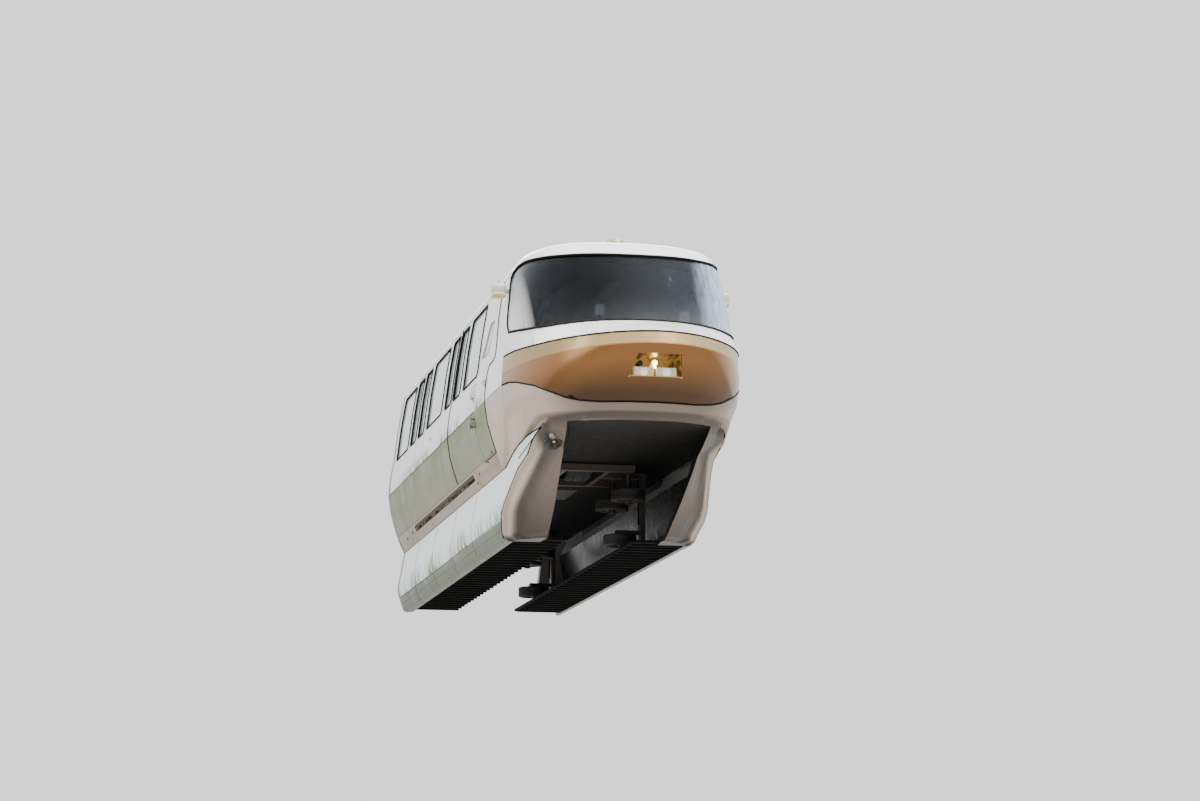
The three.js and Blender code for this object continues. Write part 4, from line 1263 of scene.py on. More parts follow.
class CAR_OT_cab_doors(bpy.types.Operator):
    """Adds the seals, window gasket, handle and hinge covers of the two cab doors"""

    bl_idname = "car.cab_doors"
    bl_label = "Cab Doors"

    def execute(self, context):
        sizes = context.scene.car_sizes
        body = "cab_door_{side}_body"
        rim = on_skin(CAB_DOOR[2:], 0.05, -0.004)
        both_sides(
            bead("cab_door_front_seal", [rim], sizes.seal + 0.003, sides=2), "rubber", body
        )
        back = on_skin(CAB_DOOR[:3], 0.08, -0.006)
        both_sides(bead("cab_door_rear_seal", [back], sizes.joint, sides=2), "grey", body)
        sill = on_skin((CAB_DOOR[-1], CAB_DOOR[0]), 0.08, -0.006)
        both_sides(bead("cab_door_sill_seal", [sill], sizes.joint, sides=2), "rubber", body)
        glass = [on_side(y, z, 0.001) for y, z in ring_of(CAB_WINDOW, 0.06)]
        gasket = bead("cab_window_gasket", [glass], sizes.joint, closed=True, sides=2)
        both_sides(gasket, "grey", body)
        x = -wall_x(0.9)
        plate = block(
            "cab_door_lock", (x - 0.006, -2.15, 0.87), (x + 0.004, -2.06, 0.95), 0.004, 3,
            [((-1, 0, 0), 0.008, 0.003)],
        )
        grip = [
            (x - 0.004, -2.13, 0.885), (x - 0.03, -2.13, 0.89), (x - 0.03, -2.13, 0.93),
            (x - 0.004, -2.13, 0.935),
        ]
        handle = joined("cab_door_handle", [plate, bead("grip", [grip], 0.0055, sides=3)])
        both_sides(handle, "bright", body)
        covers = []
        for z in (0.56, 0.9):
            covers.append(turned("cover", HINGE_CAP, "z", (*CAB_HINGE, z + 0.0665), 20))
            for dz in (-0.01, 0.01):
                covers.append(turned("bolt", HINGE_BOLT, "x", (-1.382, -1.485, z + dz), 6))
        both_sides(joined("cab_hinge_caps", covers[:1] + covers[3:4]), "bright")
        for extra in (*covers[1:3], *covers[4:]):
            extra.name = "cab_hinge_bolt"
        both_sides(joined("cab_hinge_bolts", [*covers[1:3], *covers[4:]]), "bright", body)
        return {"FINISHED"}


LAMP_PLACES = (-0.125, 0.125)
LAMP_FACE = -5.1135
SPARE_BULB = (-0.15, -5.04, 0.655)


class CAR_OT_headlamps(bpy.types.Operator):
    """Builds the lined bay, its two square lamps and the lit bulb above them"""

    bl_idname = "car.headlamps"
    bl_label = "Headlamps"

    def execute(self, context):
        low, high = (Vector(corner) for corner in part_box("headlamp_unit"))
        back = block(
            "lamp_bay_back", (-0.296, -5.1, 0.489), (0.296, -4.972, 0.713), 0.002, 1,
            [((0, -1, 0), 0.008, -0.118)],
        )
        with editing(back, "VERT"):
            pick(back, lambda v: v.co.z > 0.6, "verts")
            bpy.ops.transform.resize(value=(0.81, 1, 1), center_override=(0, -5, 0.713))
            pick(back, lambda v: v.co.z > 0.6 and v.co.y < -5.05, "verts")
            bpy.ops.transform.translate(value=(0, -0.17, 0))
        shelf = block(
            "shelf", (-0.283, low.y, high.z - 0.2094), (0.283, -4.975, 0.505), 0.002, 2,
            [((0, 0, 1), 0.01, -0.003)],
        )
        tray = joined("lamp_bay_lining", [back, shelf])
        dress(tray, "reflector_gold", replaces=("headlamp_unit",))
        for name, x in zip(("left", "right"), LAMP_PLACES):
            case = block(
                f"lamp_case_{name}", (x - 0.103, -5.112, 0.501), (x + 0.103, -5.02, 0.601), 0.006, 3,
                [((0, -1, 0), 0.009, -0.045)],
            )
            # case with a painted glow of sunlight
            dress(case, "lamp_case")
            bowl = turned(f"lamp_bowl_{name}", LAMP_BOWL, "y", (x, -5.069, 0.551), 40)
            # reflector with a painted glow of sunlight
            dress(bowl, "mirror")
            cover = block(
                f"lamp_lens_{name}", (x - 0.095, -5.114, 0.508), (x + 0.095, -5.107, 0.594), 0.003, 3
            )
            dress(cover, "lens")
            screws = [
                turned("screw", LAMP_SCREW, "y", (x + dx, LAMP_FACE, z), 12)
                for dx in (-0.098, 0.098)
                for z in (0.5065, 0.5955)
            ]
            dress(joined(f"lamp_screws_{name}", screws), "bright")
        bulb = turned("lit_bulb", LIT_BULB, "y", (0.0, -5.038, 0.655), 24)
        dress(bulb, "lit")
        cup = turned("bulb_cup", BULB_CUP, "y", (0, -5.04, 0.655), 32)
        dress(cup, "bright")
        stem = block("bulb_stem", (-0.016, -5.075, 0.601), (0.016, -5.04, 0.64), 0.003)
        dress(stem, "lit")
        socket = turned("spare_socket", SPARE_SOCKET, "y", SPARE_BULB, 28)
        dress(socket, "dark")
        clip = block(
            "bay_clip", (0.19, -5.07, 0.61), (0.206, -5.02, 0.67), 0.003, 2, [((0, -1, 0), 0.004, -0.01)]
        )
        dress(clip, "dark")
        wires = [
            [(-0.15, -5.05, 0.63), (-0.13, -5.07, 0.615), (-0.1, -5.06, 0.61)],
            [(0.2, -5.05, 0.61), (0.16, -5.07, 0.615), (0.12, -5.06, 0.606)],
        ]
        dress(bead("bay_wires", wires, 0.003, sides=2), "rubber")
        return {"FINISHED"}


BEACON = (0, -3.1, 2.288)
PANEL_JOINTS_X = (-0.62, -0.2, 0.2, 0.62)
PANEL_JOINTS_Y = (-1.9, -0.1, 1.9, 3.7)
ROOF_STEPS = (-0.97, -0.78, -0.43, -0.06, 0.06, 0.43, 0.78, 0.97)


class CAR_OT_roof_fittings(bpy.types.Operator):
    """Builds the beacon, the camera pods with their lenses, and the short aerial"""

    bl_idname = "car.roof_fittings"
    bl_label = "Roof Fittings"

    def execute(self, context):
        rows = [(0.09, 0.03), (0.1145, 0.03), (0.1145, 0.05)]
        for i in range(5):
            rows += [(0.109, 0.054 + 0.014 * i), (0.1135, 0.06 + 0.014 * i)]
        rows += [(0.107, 0.132), (0.092, 0.147), (0.065, 0.158), (0.03, 0.1645), (0.006, 0.1655)]
        dome = turned("beacon_lens", rows, "z", BEACON, 48)
        dress(dome, "amber", replaces=("roof_beacon",), degrees=50)
        base = turned("beacon_base", BEACON_BASE, "z", BEACON, 48)
        dress(base, "grey")
        screws = []
        for i in range(6):
            angle = math.radians(60 * i)
            spot = (0.112 * math.cos(angle), BEACON[1] + 0.112 * math.sin(angle), BEACON[2] + 0.033)
            screws.append(turned("screw", BEACON_SCREW, "z", spot, 10))
        dress(joined("beacon_screws", screws), "bright")
        pod = block("camera_pod_case", (-1.384, -2.929, 1.798), (-1.214, -2.791, 1.925), 0.042, 6)
        arm = block("pod_arm", (-1.23, -2.889, 1.817), (-1.16, -2.831, 1.865), 0.008, 3)
        case = joined("camera_pod_case", [pod, arm])
        twin = copied(case, "camera_pod_case_right", mirror=True)
        case.name = "camera_pod_case_left"
        for part, side in ((case, "left"), (twin, "right")):
            dress(part, "pod", replaces=(f"camera_pod_{side}",), degrees=45)
        lens = block("camera_pod_lens", (-1.381, -2.926, 1.755), (-1.217, -2.794, 1.84), 0.036, 6)
        both_sides(lens, "pod_foot")
        whip = turned("pod_whip", POD_WHIP, "z", (-1.3, -2.86, 1.922), 12)
        both_sides(whip, "dark")
        aerial = turned("roof_aerial", AERIAL, "z", (0.74, -3.02, 2.262), 20)
        dress(aerial, "trim")
        ends = (PANEL_JOINTS_Y[0], REAR - 0.03)
        ribs = [[(x, y, roof_z(x, 0.001)) for y in ends] for x in PANEL_JOINTS_X]
        ribs += [[(x, y, roof_z(x, 0.001)) for x in ROOF_STEPS] for y in PANEL_JOINTS_Y]
        dress(bead("roof_panel_joints", ribs, 0.003), "grey")
        return {"FINISHED"}


def roof_z(x, out=0.0):
    hit, _, _, _ = SHELL.ray_cast(Vector((x, 1.0, 4)), Vector((0, 0, -1)))
    return (hit.z if hit is not None else 2.3) + out


LOUVRE_Y = (-0.57, 4.1)
LOUVRE_Z = (0.015, 0.08)
LATCHES = ((-0.95, 0.05), (-1.62, 0.09), (-0.66, -0.02), (4.4, 0.05), (4.9, 0.03), (1.96, 0.9), (-1.98, 0.15))


class CAR_OT_louvres(bpy.types.Operator):
    """Adds the torn grille behind the slot above the skirt, and the latches beside it"""

    bl_idname = "car.louvres"
    bl_label = "Louvres"

    def execute(self, context):
        depth = wall_x(0.0) - 0.02
        back = block(
            "louvre_duct", (-depth + 0.012, LOUVRE_Y[0] - 0.005, 0.005),
            (-depth + 0.045, LOUVRE_Y[1] + 0.005, 0.09), 0.003, 1, [((-1, 0, 0), 0.004, -0.012)],
        )
        both_sides(back, "dark")
        slats = []
        count = 78
        for i in range(count):
            y = LOUVRE_Y[0] + 0.03 + (LOUVRE_Y[1] - LOUVRE_Y[0] - 0.06) * i / (count - 1)
            lost = math.sin(i * 12.9898) * 43758.5453
            chance = lost - math.floor(lost)
            if chance < 0.35 or y < 0.0 and chance < 0.75:
                continue
            top = 0.077 - (0.03 * (chance - 0.8) / 0.2 if chance > 0.8 else 0.0)
            lean = 0.03 * (chance - 0.6)
            x = -depth - 0.012
            slats.append([(x, y, 0.018), (x - 0.004, y + lean * 0.5, 0.045), (x + 0.004, y + lean, top)])
        both_sides(bead("louvre_slats", slats, 0.0075), "grille")
        frame_line = [on_wall(y, z, 0.001) for y, z in ring_of(rounded(LOUVRE_Y, LOUVRE_Z, 0.014, 3), 0.3)]
        both_sides(bead("louvre_frame", [frame_line], 0.004, closed=True), "rubber")
        marks = []
        for y, z in LATCHES:
            x = -wall_x(z)
            marks.append(
                block("latch", (x - 0.005, y - 0.012, z - 0.03), (x + 0.006, y + 0.012, z + 0.03), 0.003, 2)
            )
        both_sides(joined("side_latches", marks), "steel")
        return {"FINISHED"}


class CAR_OT_skirts(bpy.types.Operator):
    """Adds rivets to the skirts, bowed ribs under them and beads along the liner's edges"""

    bl_idname = "car.skirts"
    bl_label = "Skirt Details"

    def execute(self, context):
        radius = context.scene.car_sizes.rivet
        heads = []
        for y in SKIRT_SEAMS:
            for z in (-0.2, -0.36, -0.52, -0.64, -0.8):
                for dy in (-0.03, 0.03):
                    heads.append((y + dy, z))
        heads += [(-2.0 + 0.3 * i, -0.85) for i in range(25)]
        first = turned(
            "rivet", ((radius, 0.0), (radius * 0.8, 0.002), (radius * 0.4, 0.003)), "x", (0, 0, 0), 10
        )
        rivets = [copied(first, "rivet", on_wall(y, z, -0.0008), mirror=True) for y, z in heads]
        bpy.data.objects.remove(first)
        both_sides(joined("skirt_rivets", rivets), "skirt")
        bows = []
        for i in range(30):
            y = -2.03 + 0.25 * i
            shares = [j / 10 for j in range(11)]
            bows.append([(-0.44 - 0.54 * t, y + 0.12 * math.sin(math.pi * t), -0.888) for t in shares])
        both_sides(bead("liner_bows", bows, 0.008, sides=2), "gloss_black")
        keel = [
            [(-0.41, -2.18, -0.885), (-0.41, 5.38, -0.885)], [(-0.99, -2.18, -0.885), (-0.99, 5.38, -0.885)]
        ]
        both_sides(bead("liner_edge", keel, 0.009, sides=2), "rubber")
        return {"FINISHED"}


HUB = (-0.89, -3.955, -0.035)


class CAR_OT_leg_hub(bpy.types.Operator):
    """Builds the round hub with its lobes, plug, tag and hose inside the fairing's left leg"""

    bl_idname = "car.leg_hub"
    bl_label = "Leg Hub"

    def execute(self, context):
        at = Vector(HUB)
        parts = [turned("beam_hub", HUB_RIM, "y", at, 36)]
        for i in range(9):
            angle = math.radians(200 + 30 * i)
            spot = at + Vector((0.08 * math.cos(angle), -0.02 - 0.014 * (i % 2), 0.08 * math.sin(angle)))
            parts.append(turned("lobe", HUB_LOBE, "y", spot, 14))
        dress(joined("beam_hub", parts), "tyre", degrees=45)
        dress(turned("hub_crown", HUB_CROWN, "y", at + Vector((0.0, -0.02, 0.05)), 32), "grey")
        plug = turned("hub_plug", HUB_PLUG, "y", at + Vector((0.012, -0.03, -0.02)), 20)
        dress(plug, "pod_foot")
        tag = block("hub_tag", at + Vector((0.07, -0.17, 0.03)), at + Vector((0.108, -0.12, 0.08)), 0.004, 2)
        dress(tag, "green_paint")
        hose = [
            at + Vector(step)
            for step in (
                (0.01, -0.08, 0.05), (0.02, -0.15, 0.09), (0.06, -0.235, 0.115), (0.14, -0.235, 0.115),
                (0.17, -0.1, 0.1), (0.2, 0.1, 0.09),
            )
        ]
        dress(bead("hub_hose", [hose], 0.007, sides=2), "rubber")
        return {"FINISHED"}


GUIDE_ROWS = (
    (0.043, -0.04), (0.06, -0.046), (0.11, -0.046), (0.122, -0.064), (0.186, -0.0645), (0.198, -0.055),
    (0.2, -0.02), (0.1975, -0.012), (0.1975, -0.006), (0.2, 0.0), (0.1975, 0.006), (0.1975, 0.012),
    (0.2, 0.02), (0.198, 0.055), (0.186, 0.0645), (0.122, 0.064), (0.11, 0.046), (0.06, 0.046),
    (0.043, 0.04),
)
LOAD_ROWS = (
    (0.05, -0.11), (0.13, -0.115), (0.2, -0.09), (0.27, -0.1), (0.3, -0.149), (0.405, -0.149),
    (0.425, -0.125), (0.4295, -0.08), (0.4295, -0.07), (0.42, -0.066), (0.42, -0.058), (0.4295, -0.054),
    (0.4295, 0.054), (0.42, 0.058), (0.42, 0.066), (0.4295, 0.07), (0.4295, 0.08), (0.425, 0.125),
    (0.405, 0.149), (0.3, 0.149), (0.27, 0.1), (0.2, 0.09), (0.13, 0.115), (0.05, 0.11),
)


class CAR_OT_wheels(bpy.types.Operator):
    """Builds one guide wheel and one load wheel with hubs and bolts, and puts a copy on every pin"""

    bl_idname = "car.wheels"
    bl_label = "Wheels"

    def execute(self, context):
        count = context.scene.car_sizes.bolts
        tyre = turned("guide_tyre", GUIDE_ROWS, "z", (0, 0, 0), 56, ring=True)
        discs = [turned("disc", GUIDE_DISC, "z", (0, 0, 0.0455), 40, ring=True)]
        discs.append(copied(discs[0], "disc", (0, 0, 0)))
        with editing(discs[1], "VERT"):
            bpy.ops.mesh.select_all(action="SELECT")
            bpy.ops.transform.resize(value=(1, 1, -1), center_override=(0, 0, 0))
        outward(discs[1])
        for i in range(count):
            angle = math.tau * i / count
            spot = (0.088 * math.cos(angle), 0.088 * math.sin(angle), 0)
            discs += [turned("bolt", facing(GUIDE_BOLT, way), "z", spot, 6) for way in (1, -1)]
        disc = joined("guide_disc", discs)
        wheel = turned("load_tyre", LOAD_ROWS, "x", (0, 0, 0), 72, ring=True)
        parts = [turned("axle", AXLE, "x", (0, 0, 0), 32)]
        for way in (-1, 1):
            parts.append(turned("cap", facing(LOAD_CAP, way), "x", (0, 0, 0), 40))
            for i in range(10):
                angle = math.tau * i / 10
                spot = (0.0, 0.165 * math.cos(angle), 0.165 * math.sin(angle))
                parts.append(turned("nut", facing(LOAD_NUT, way), "x", spot, 6))
        hub = joined("load_hub", parts)
        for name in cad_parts:
            if "_wheel_" not in name:
                continue
            low, high = (Vector(corner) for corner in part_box(name))
            forms = (tyre, disc) if name.startswith("guide") else (wheel, hub)
            for form, part, look, slot in zip(
                forms, ("tyre", "hub"), ("tyre", "steel_bright"), ("tyre_rubber", "tyre_rubber")
            ):
                copy = copied(form, f"{name}_{part}", (low + high) / 2)
                dress(copy, look, f"{name}_body", (name,) if part == "tyre" else ())
        for form in (tyre, disc, wheel, hub):
            bpy.data.objects.remove(form)
        return {"FINISHED"}


PIN_X = 0.5303
PIN_REACH = 0.44
SPRING_TURNS = 7
SPRING_RADIUS = 0.026
SPRING_HEIGHT = 0.26
# Brake pipes on the right of an axle, as (x, y from the axle, z)
BRAKE_PIPES = (
    ((0.26, -0.6, 0.125), (0.26, -0.2, 0.125), (0.26, -0.13, 0.14), (0.26, -0.11, 0.3), (0.26, -0.11, 0.46)),
    ((0.45, 0.05, 0.1), (0.62, 0.05, 0.112), (0.74, 0.05, 0.112), (0.765, 0.04, 0.06), (0.765, 0.04, -0.5)),
)


class CAR_OT_bogies(bpy.types.Operator):
    """Adds springs, bolts, brake pipes and pin nuts to the two bogie frames, and fins to the motor"""

    bl_idname = "car.bogies"
    bl_label = "Bogie Details"

    def execute(self, context):
        bolts, springs, pipes = [], [], []
        for y in AXLES.values():
            for side in (-1, 1):
                for way in (-1, 1):
                    at = y + PIN_REACH * way
                    bolts.append(turned("nut", PIN_CAP, "z", (side * PIN_X, at, 0), 6))
                    for dx in (-0.035, 0.035):
                        spot = (side * PIN_X + dx, at + 0.13 * way, 0)
                        bolts.append(turned("bolt", ARM_BOLT, "z", spot, 6))
                bolts.append(turned("nut", PIN_FOOT, "z", (side * PIN_X, y, 0), 6))
                for z in (-0.05, -0.2, -0.35, -0.5):
                    for dy in (-0.035, 0.035):
                        bolts.append(turned("bolt", facing(POST_BOLT, side), "x", (0, y + dy, z), 6))
                coil = []
                for i in range(14 * SPRING_TURNS + 1):
                    a = math.tau * i / 14
                    across, along = SPRING_RADIUS * math.cos(a), SPRING_RADIUS * math.sin(a)
                    height = 0.115 + SPRING_HEIGHT * a / (math.tau * SPRING_TURNS)
                    coil.append((side * 0.255 + across, y + 0.2 + along, height))
                springs.append(coil)
                pipes += [[(side * px, y + py, pz) for px, py, pz in pipe] for pipe in BRAKE_PIPES]
        dress(joined("bogie_bolts", bolts), "steel_bright")
        dress(bead("bogie_springs", springs, 0.007, sides=2), "steel")
        dress(bead("brake_pipes", pipes, 0.008, sides=2), "rubber")
        fins = [[(-0.2, 0.06 + 0.05 * i, 0.022), (0.2, 0.06 + 0.05 * i, 0.022)] for i in range(15)]
        dress(bead("motor_fins", fins, 0.006), "steel")
        return {"FINISHED"}


RING_FOOT = -0.911


def section_ring(inset, y):
    """The body's cross section, pulled in by an inset, from the left foot over the roof to the right foot"""
    left = []
    for z, x in WALL_ROWS:
        if x - inset > 0.02:
            drop = inset * min(max(z - 1.0, 0.0), 1.0)
            left.append(Vector((-(x - inset), y, max(z - drop, RING_FOOT))))
    return left + [Vector((-p.x, p.y, p.z)) for p in reversed(left)]


class CAR_OT_gangway(bpy.types.Operator):
    """Adds pleats, a clamp frame and bolts to the gangway bellows, and handrails in its doorway"""

    bl_idname = "car.gangway"
    bl_label = "Gangway"

    def execute(self, context):
        pleats = [section_ring(inset, y) for y, inset in ((5.509, 0.0075), (5.563, 0.0075), (5.617, 0.0075))]
        dress(bead("bellows_pleats", pleats, 0.007, sides=2), "grey_rubber")
        gaps = [section_ring(0.016, y) for y in (5.536, 5.59)]
        dress(bead("bellows_gaps", gaps, 0.004, sides=2), "rubber")
        clamp = [section_ring(0.0055, 5.495), section_ring(0.0055, 5.6375)]
        dress(bead("bellows_clamp", clamp, 0.005, sides=2), "bright")
        nuts = []
        for z, x in WALL_ROWS[1:17]:
            for side in (-1, 1):
                nuts.append(turned("nut", BELLOWS_NUT, "y", (side * (x - 0.06), 0, z - 0.01), 6))
        dress(joined("bellows_nuts", nuts), "bright")
        door = [[(-0.35, 5.405, 0.21), (-0.35, 5.405, 2.005), (0.35, 5.405, 2.005), (0.35, 5.405, 0.21)]]
        dress(bead("doorway_trim", door, 0.009, sides=2), "dark")
        rails = [[(x, 5.412, 0.9), (x, 5.37, 0.92), (x, 5.37, 1.48), (x, 5.412, 1.5)] for x in (-0.42, 0.42)]
        dress(bead("doorway_rails", rails, 0.013, sides=3), "bright")
        return {"FINISHED"}


def inflated(piece, cap, pressure=4.0, voxel=0.006):
    """Swells a pad by cloth simulation, with no point moving further than the cap"""
    choose(piece)
    piece.data.remesh_voxel_size = voxel
    bpy.ops.object.voxel_remesh()
    start = [vertex.co.copy() for vertex in piece.data.vertices]
    bpy.ops.object.modifier_add(type="CLOTH")
    cloth = piece.modifiers[-1]
    cloth.settings.quality = 4
    cloth.settings.use_pressure = True
    cloth.settings.uniform_pressure_force = pressure
    cloth.settings.effector_weights.gravity = 0.0
    for step in range(1, 21):
        bpy.context.scene.frame_set(step)
    choose(piece)
    bpy.ops.object.modifier_apply(modifier=cloth.name)
    bpy.context.scene.frame_set(1)
    for vertex, place in zip(piece.data.vertices, start):
        move = vertex.co - place
        if move.length > cap:
            vertex.co = place + move.normalized() * cap
    bpy.ops.object.modifier_add(type="SUBSURF")
    piece.modifiers[-1].levels = 1
    bpy.ops.object.modifier_apply(modifier=piece.modifiers[-1].name)


def pad(name, low, high, cap=0.012, waist=0.012):
    """A cushion that fills the space between two corners once it has swollen"""
    low, high = Vector(low) + Vector((cap, cap, cap)) * 0.9, Vector(high) - Vector((cap, cap, cap)) * 0.9
    size = high - low
    thin = min(range(3), key=lambda axis: size[axis])
    piece = block(name, low, high, min(size) * 0.42, 4)
    with editing(piece, "VERT"):
        bpy.ops.mesh.select_all(action="SELECT")
        bpy.ops.mesh.subdivide(number_cuts=6)
    middle = (low + high) / 2
    for vertex in piece.data.vertices:
        shares = [(vertex.co[axis] - middle[axis]) / (size[axis] / 2) for axis in range(3)]
        for axis in range(3):
            if axis != thin:
                other = 3 - thin - axis
                pull = waist * (1 - shares[other] ** 2) * shares[axis]
                vertex.co[axis] -= pull
        bulge = 0.25 * cap * shares[thin] * (1 - shares[(thin + 1) % 3] ** 2)
        vertex.co[thin] += bulge * (1 - shares[(thin + 2) % 3] ** 2)
    inflated(piece, cap)
    return piece


def seams_on(piece, name, axis, low, high, lines, radius=0.003):
    """Piping round a pad, with one run for each place along an axis"""
    tree = BVHTree.FromPolygons(
        [v.co.copy() for v in piece.data.vertices], [list(f.vertices) for f in piece.data.polygons]
    )
    low, high = Vector(low), Vector(high)
    middle = (low + high) / 2
    others = [a for a in range(3) if a != axis]
    runs = []
    for place in lines:
        run = []
        for i in range(72):
            angle = math.tau * i / 72
            way = Vector((0, 0, 0))
            way[others[0]] = math.cos(angle) * (high - low)[others[0]]
            way[others[1]] = math.sin(angle) * (high - low)[others[1]]
            start = middle.copy()
            start[axis] = place
            hit, normal, _, _ = tree.ray_cast(start + way * 2, -way.normalized())
            if hit is not None:
                run.append(hit + normal * radius * 0.2)
        runs.append(run)
    return bead(name, runs, radius, closed=True, sides=2)


BENCH_X = (0.321, 0.76)
BENCH_HALF = 0.448
PAD_HALF = 0.44
DRIVER_PLACE = (0, -2.9, 0)


class CAR_OT_seats(bpy.types.Operator):
    """Builds the driver's seat and the four benches: swollen cloth cushions on moulded shells"""

    bl_idname = "car.seats"
    bl_label = "Seats"

    def execute(self, context):
        self.driver_seat()
        self.benches()
        return {"FINISHED"}

    def driver_seat(self):
        """Builds a shell on its stem, a cushion and a back, each with a welt and two channels"""
        stem = turned("driver_stem", SEAT_STEM, "z", DRIVER_PLACE, 32)
        pan = block(
            "driver_pan", (-0.238, -3.13, 0.592), (0.238, -2.665, 0.615), 0.008, 3,
            [((0, 0, -1), 0.03, 0.004)],
        )
        shell = block(
            "driver_shell", (-0.216, -2.63, 0.66), (0.216, -2.603, 1.34), 0.012, 4,
            [((0, 1, 0), 0.03, -0.006)],
        )
        neck = [
            [(-0.1, -2.66, 0.605), (-0.1, -2.613, 0.64), (-0.1, -2.613, 0.72)],
            [(0.1, -2.66, 0.605), (0.1, -2.613, 0.64), (0.1, -2.613, 0.72)],
        ]
        whole = joined("driver_seat_frame", [stem, pan, shell, bead("neck", neck, 0.012, sides=3)])
        dress(whole, "dark", replaces=("driver_seat",), degrees=40)
        for name, low, high, axis, line in (
            ("driver_cushion", (-0.232, -3.135, 0.616), (0.232, -2.72, 0.692), 2, 0.652),
            ("driver_back", (-0.21, -2.716, 0.7), (0.21, -2.632, 1.335), 1, -2.672),
        ):
            cushion = pad(name, low, high)
            welt = seams_on(cushion, f"{name}_welt", axis, low, high, (line,))
            channels = seams_on(cushion, f"{name}_channel", 0, low, high, (-0.12, 0.12), 0.002)
            dress(cushion, "cloth", degrees=60)
            dress(welt, "dark")
            dress(channels, "dark")

    def benches(self):
        """Swells one cushion and one back, and copies the bench to each place"""
        low, high = (BENCH_X[0] + 0.07, -PAD_HALF, 0.625), (BENCH_X[1] - 0.004, PAD_HALF, 0.685)
        cushion = pad("bench_cushion", low, high)
        welt = seams_on(cushion, "welt", 2, low, high, (0.654,))
        piping = joined("bench_piping", [welt, seams_on(cushion, "channel", 1, low, high, (0.0,), 0.0035)])
        low, high = (BENCH_X[0] + 0.016, -PAD_HALF, 0.71), (BENCH_X[0] + 0.068, PAD_HALF, 1.29)
        back = pad("bench_back", low, high)
        welt = seams_on(back, "welt", 0, low, high, (BENCH_X[0] + 0.042,))
        channel = seams_on(back, "channel", 1, low, high, (0.0,), 0.0035)
        back_piping = joined("bench_back_piping", [welt, channel])
        frame_parts = [
            block("pan", (BENCH_X[0], -BENCH_HALF, 0.602), (BENCH_X[1] - 0.002, BENCH_HALF, 0.624), 0.006, 3),
            block("board", (BENCH_X[0], -BENCH_HALF, 0.6), (BENCH_X[0] + 0.014, BENCH_HALF, 1.298), 0.005, 3),
            block("bridge", (-0.001, -BENCH_HALF, 0.922), (BENCH_X[0] + 0.004, BENCH_HALF, 0.978), 0.006, 3),
        ]
        for y in (-0.36, 0.0, 0.36):
            bracket = block(
                "bracket", (BENCH_X[0] + 0.001, y - 0.012, 0.42), (BENCH_X[0] + 0.3, y + 0.012, 0.601),
                0.004, 2,
            )
            with editing(bracket, "VERT"):
                pick(bracket, lambda v: v.co.z < 0.5 and v.co.x > 0.45, "verts")
                bpy.ops.transform.translate(value=(-0.26, 0, 0))
            frame_parts.append(bracket)
        shell = joined("bench_shell", frame_parts)
        for place, y in AXLES.items():
            for side, flip in (("right", False), ("left", True)):
                for form, kind, look in (
                    (shell, "frame", "grey"),
                    (cushion, "cushion", "cloth"),
                    (back, "back", "cloth"),
                    (piping, "cushion_piping", "dark"),
                    (back_piping, "back_piping", "dark"),
                ):
                    copy = copied(form, f"bench_{place}_{side}_{kind}", (0, y, 0), mirror=flip)
                    first = kind == "frame" and side == "right"
                    dress(copy, look, replaces=(f"seat_{place}",) if first else (), degrees=50)
        for form in (shell, cushion, back, piping, back_piping):
            bpy.data.objects.remove(form)


POLES = [(x, y) for x in (-0.42, 0.42) for y in (-0.36, 4.19)]


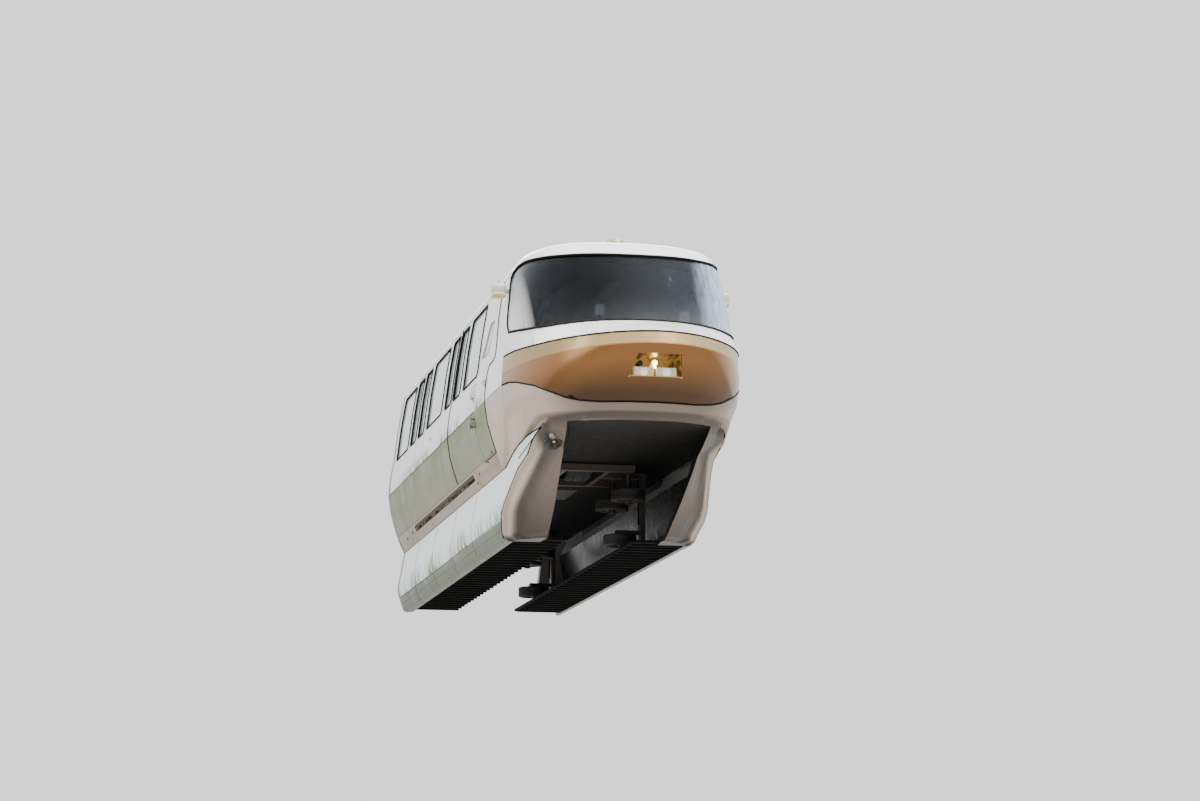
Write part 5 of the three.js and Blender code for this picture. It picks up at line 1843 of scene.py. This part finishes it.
class CAR_OT_cabin(bpy.types.Operator):
    """Adds grab poles, ceiling rails, lamp strips and a step plate in each doorway"""

    bl_idname = "car.cabin"
    bl_label = "Cabin Fittings"

    def execute(self, context):
        poles = [[(x, y, 0.205), (x, y, 2.24)] for x, y in POLES]
        for x in (-0.6, 0.6):
            poles.append(
                [
                    (x, -0.36, 2.22), (x, -0.34, 2.06), (x, -0.3, 2.03), (x, 4.13, 2.03), (x, 4.17, 2.06),
                    (x, 4.19, 2.22),
                ]
            )
        dress(bead("grab_poles", poles, 0.016, sides=3), "bright")
        feet = [turned("foot", POLE_FOOT, "z", (x, y, 0), 24) for x, y in POLES]
        dress(joined("pole_feet", feet), "bright")
        under = [((0, 0, -1), 0.012, -0.004)]
        strips = [
            block("strip", (x - 0.07, -1.9, 2.2), (x + 0.07, 5.3, 2.225), 0.01, 3, under)
            for x in (-0.25, 0.25)
        ]
        dress(joined("ceiling_strips", strips), "trim")
        plates = []
        for centre in DOORS.values():
            plates.append(
                block("plate", (-1.155, centre - 0.62, 0.2004), (-1.0, centre + 0.62, 0.204), 0.001, 1)
            )
            for i in range(5):
                plates.append(
                    block(
                        "tread", (-1.14 + 0.028 * i, centre - 0.6, 0.2038),
                        (-1.13 + 0.028 * i, centre + 0.6, 0.2065), 0.001, 1,
                    )
                )
        both_sides(joined("door_sills", plates), "bright")
        return {"FINISHED"}


CLASSES = [
    CarSizes,
    CarColours,
    CAR_OT_stage,
    CAR_OT_panels,
    CAR_OT_carried_nodes,
    CAR_OT_seams,
    CAR_OT_windows,
    CAR_OT_windscreen,
    CAR_OT_cab_doors,
    CAR_OT_headlamps,
    CAR_OT_roof_fittings,
    CAR_OT_louvres,
    CAR_OT_skirts,
    CAR_OT_leg_hub,
    CAR_OT_wheels,
    CAR_OT_bogies,
    CAR_OT_gangway,
    CAR_OT_seats,
    CAR_OT_cabin,
]


class CAR_PT_parts(bpy.types.Panel):
    """Lists the car's operators and its sizes and colours"""

    bl_idname = "CAR_PT_parts"
    bl_label = "Monorail Lead Car"
    bl_space_type = "VIEW_3D"
    bl_region_type = "UI"
    bl_category = "Monorail"

    def draw(self, context):
        layout = self.layout
        for group in (context.scene.car_sizes, context.scene.car_colours):
            for name in group.__annotations__:
                layout.prop(group, name)
        for operator in operators():
            layout.operator(operator.bl_idname)


def operators():
    return [kind for kind in CLASSES if issubclass(kind, bpy.types.Operator)]


def register():
    for kind in (*CLASSES, CAR_PT_parts):
        bpy.utils.register_class(kind)
    bpy.types.Scene.car_sizes = PointerProperty(type=CarSizes)
    bpy.types.Scene.car_colours = PointerProperty(type=CarColours)


def unregister():
    del bpy.types.Scene.car_sizes
    del bpy.types.Scene.car_colours
    for kind in reversed((*CLASSES, CAR_PT_parts)):
        bpy.utils.unregister_class(kind)


def main():
    register()
    make_looks(bpy.context.scene.car_colours)
    for operator in operators():
        family, name = operator.bl_idname.split(".")
        getattr(getattr(bpy.ops, family), name)()


if __name__ == "__main__":
    main()
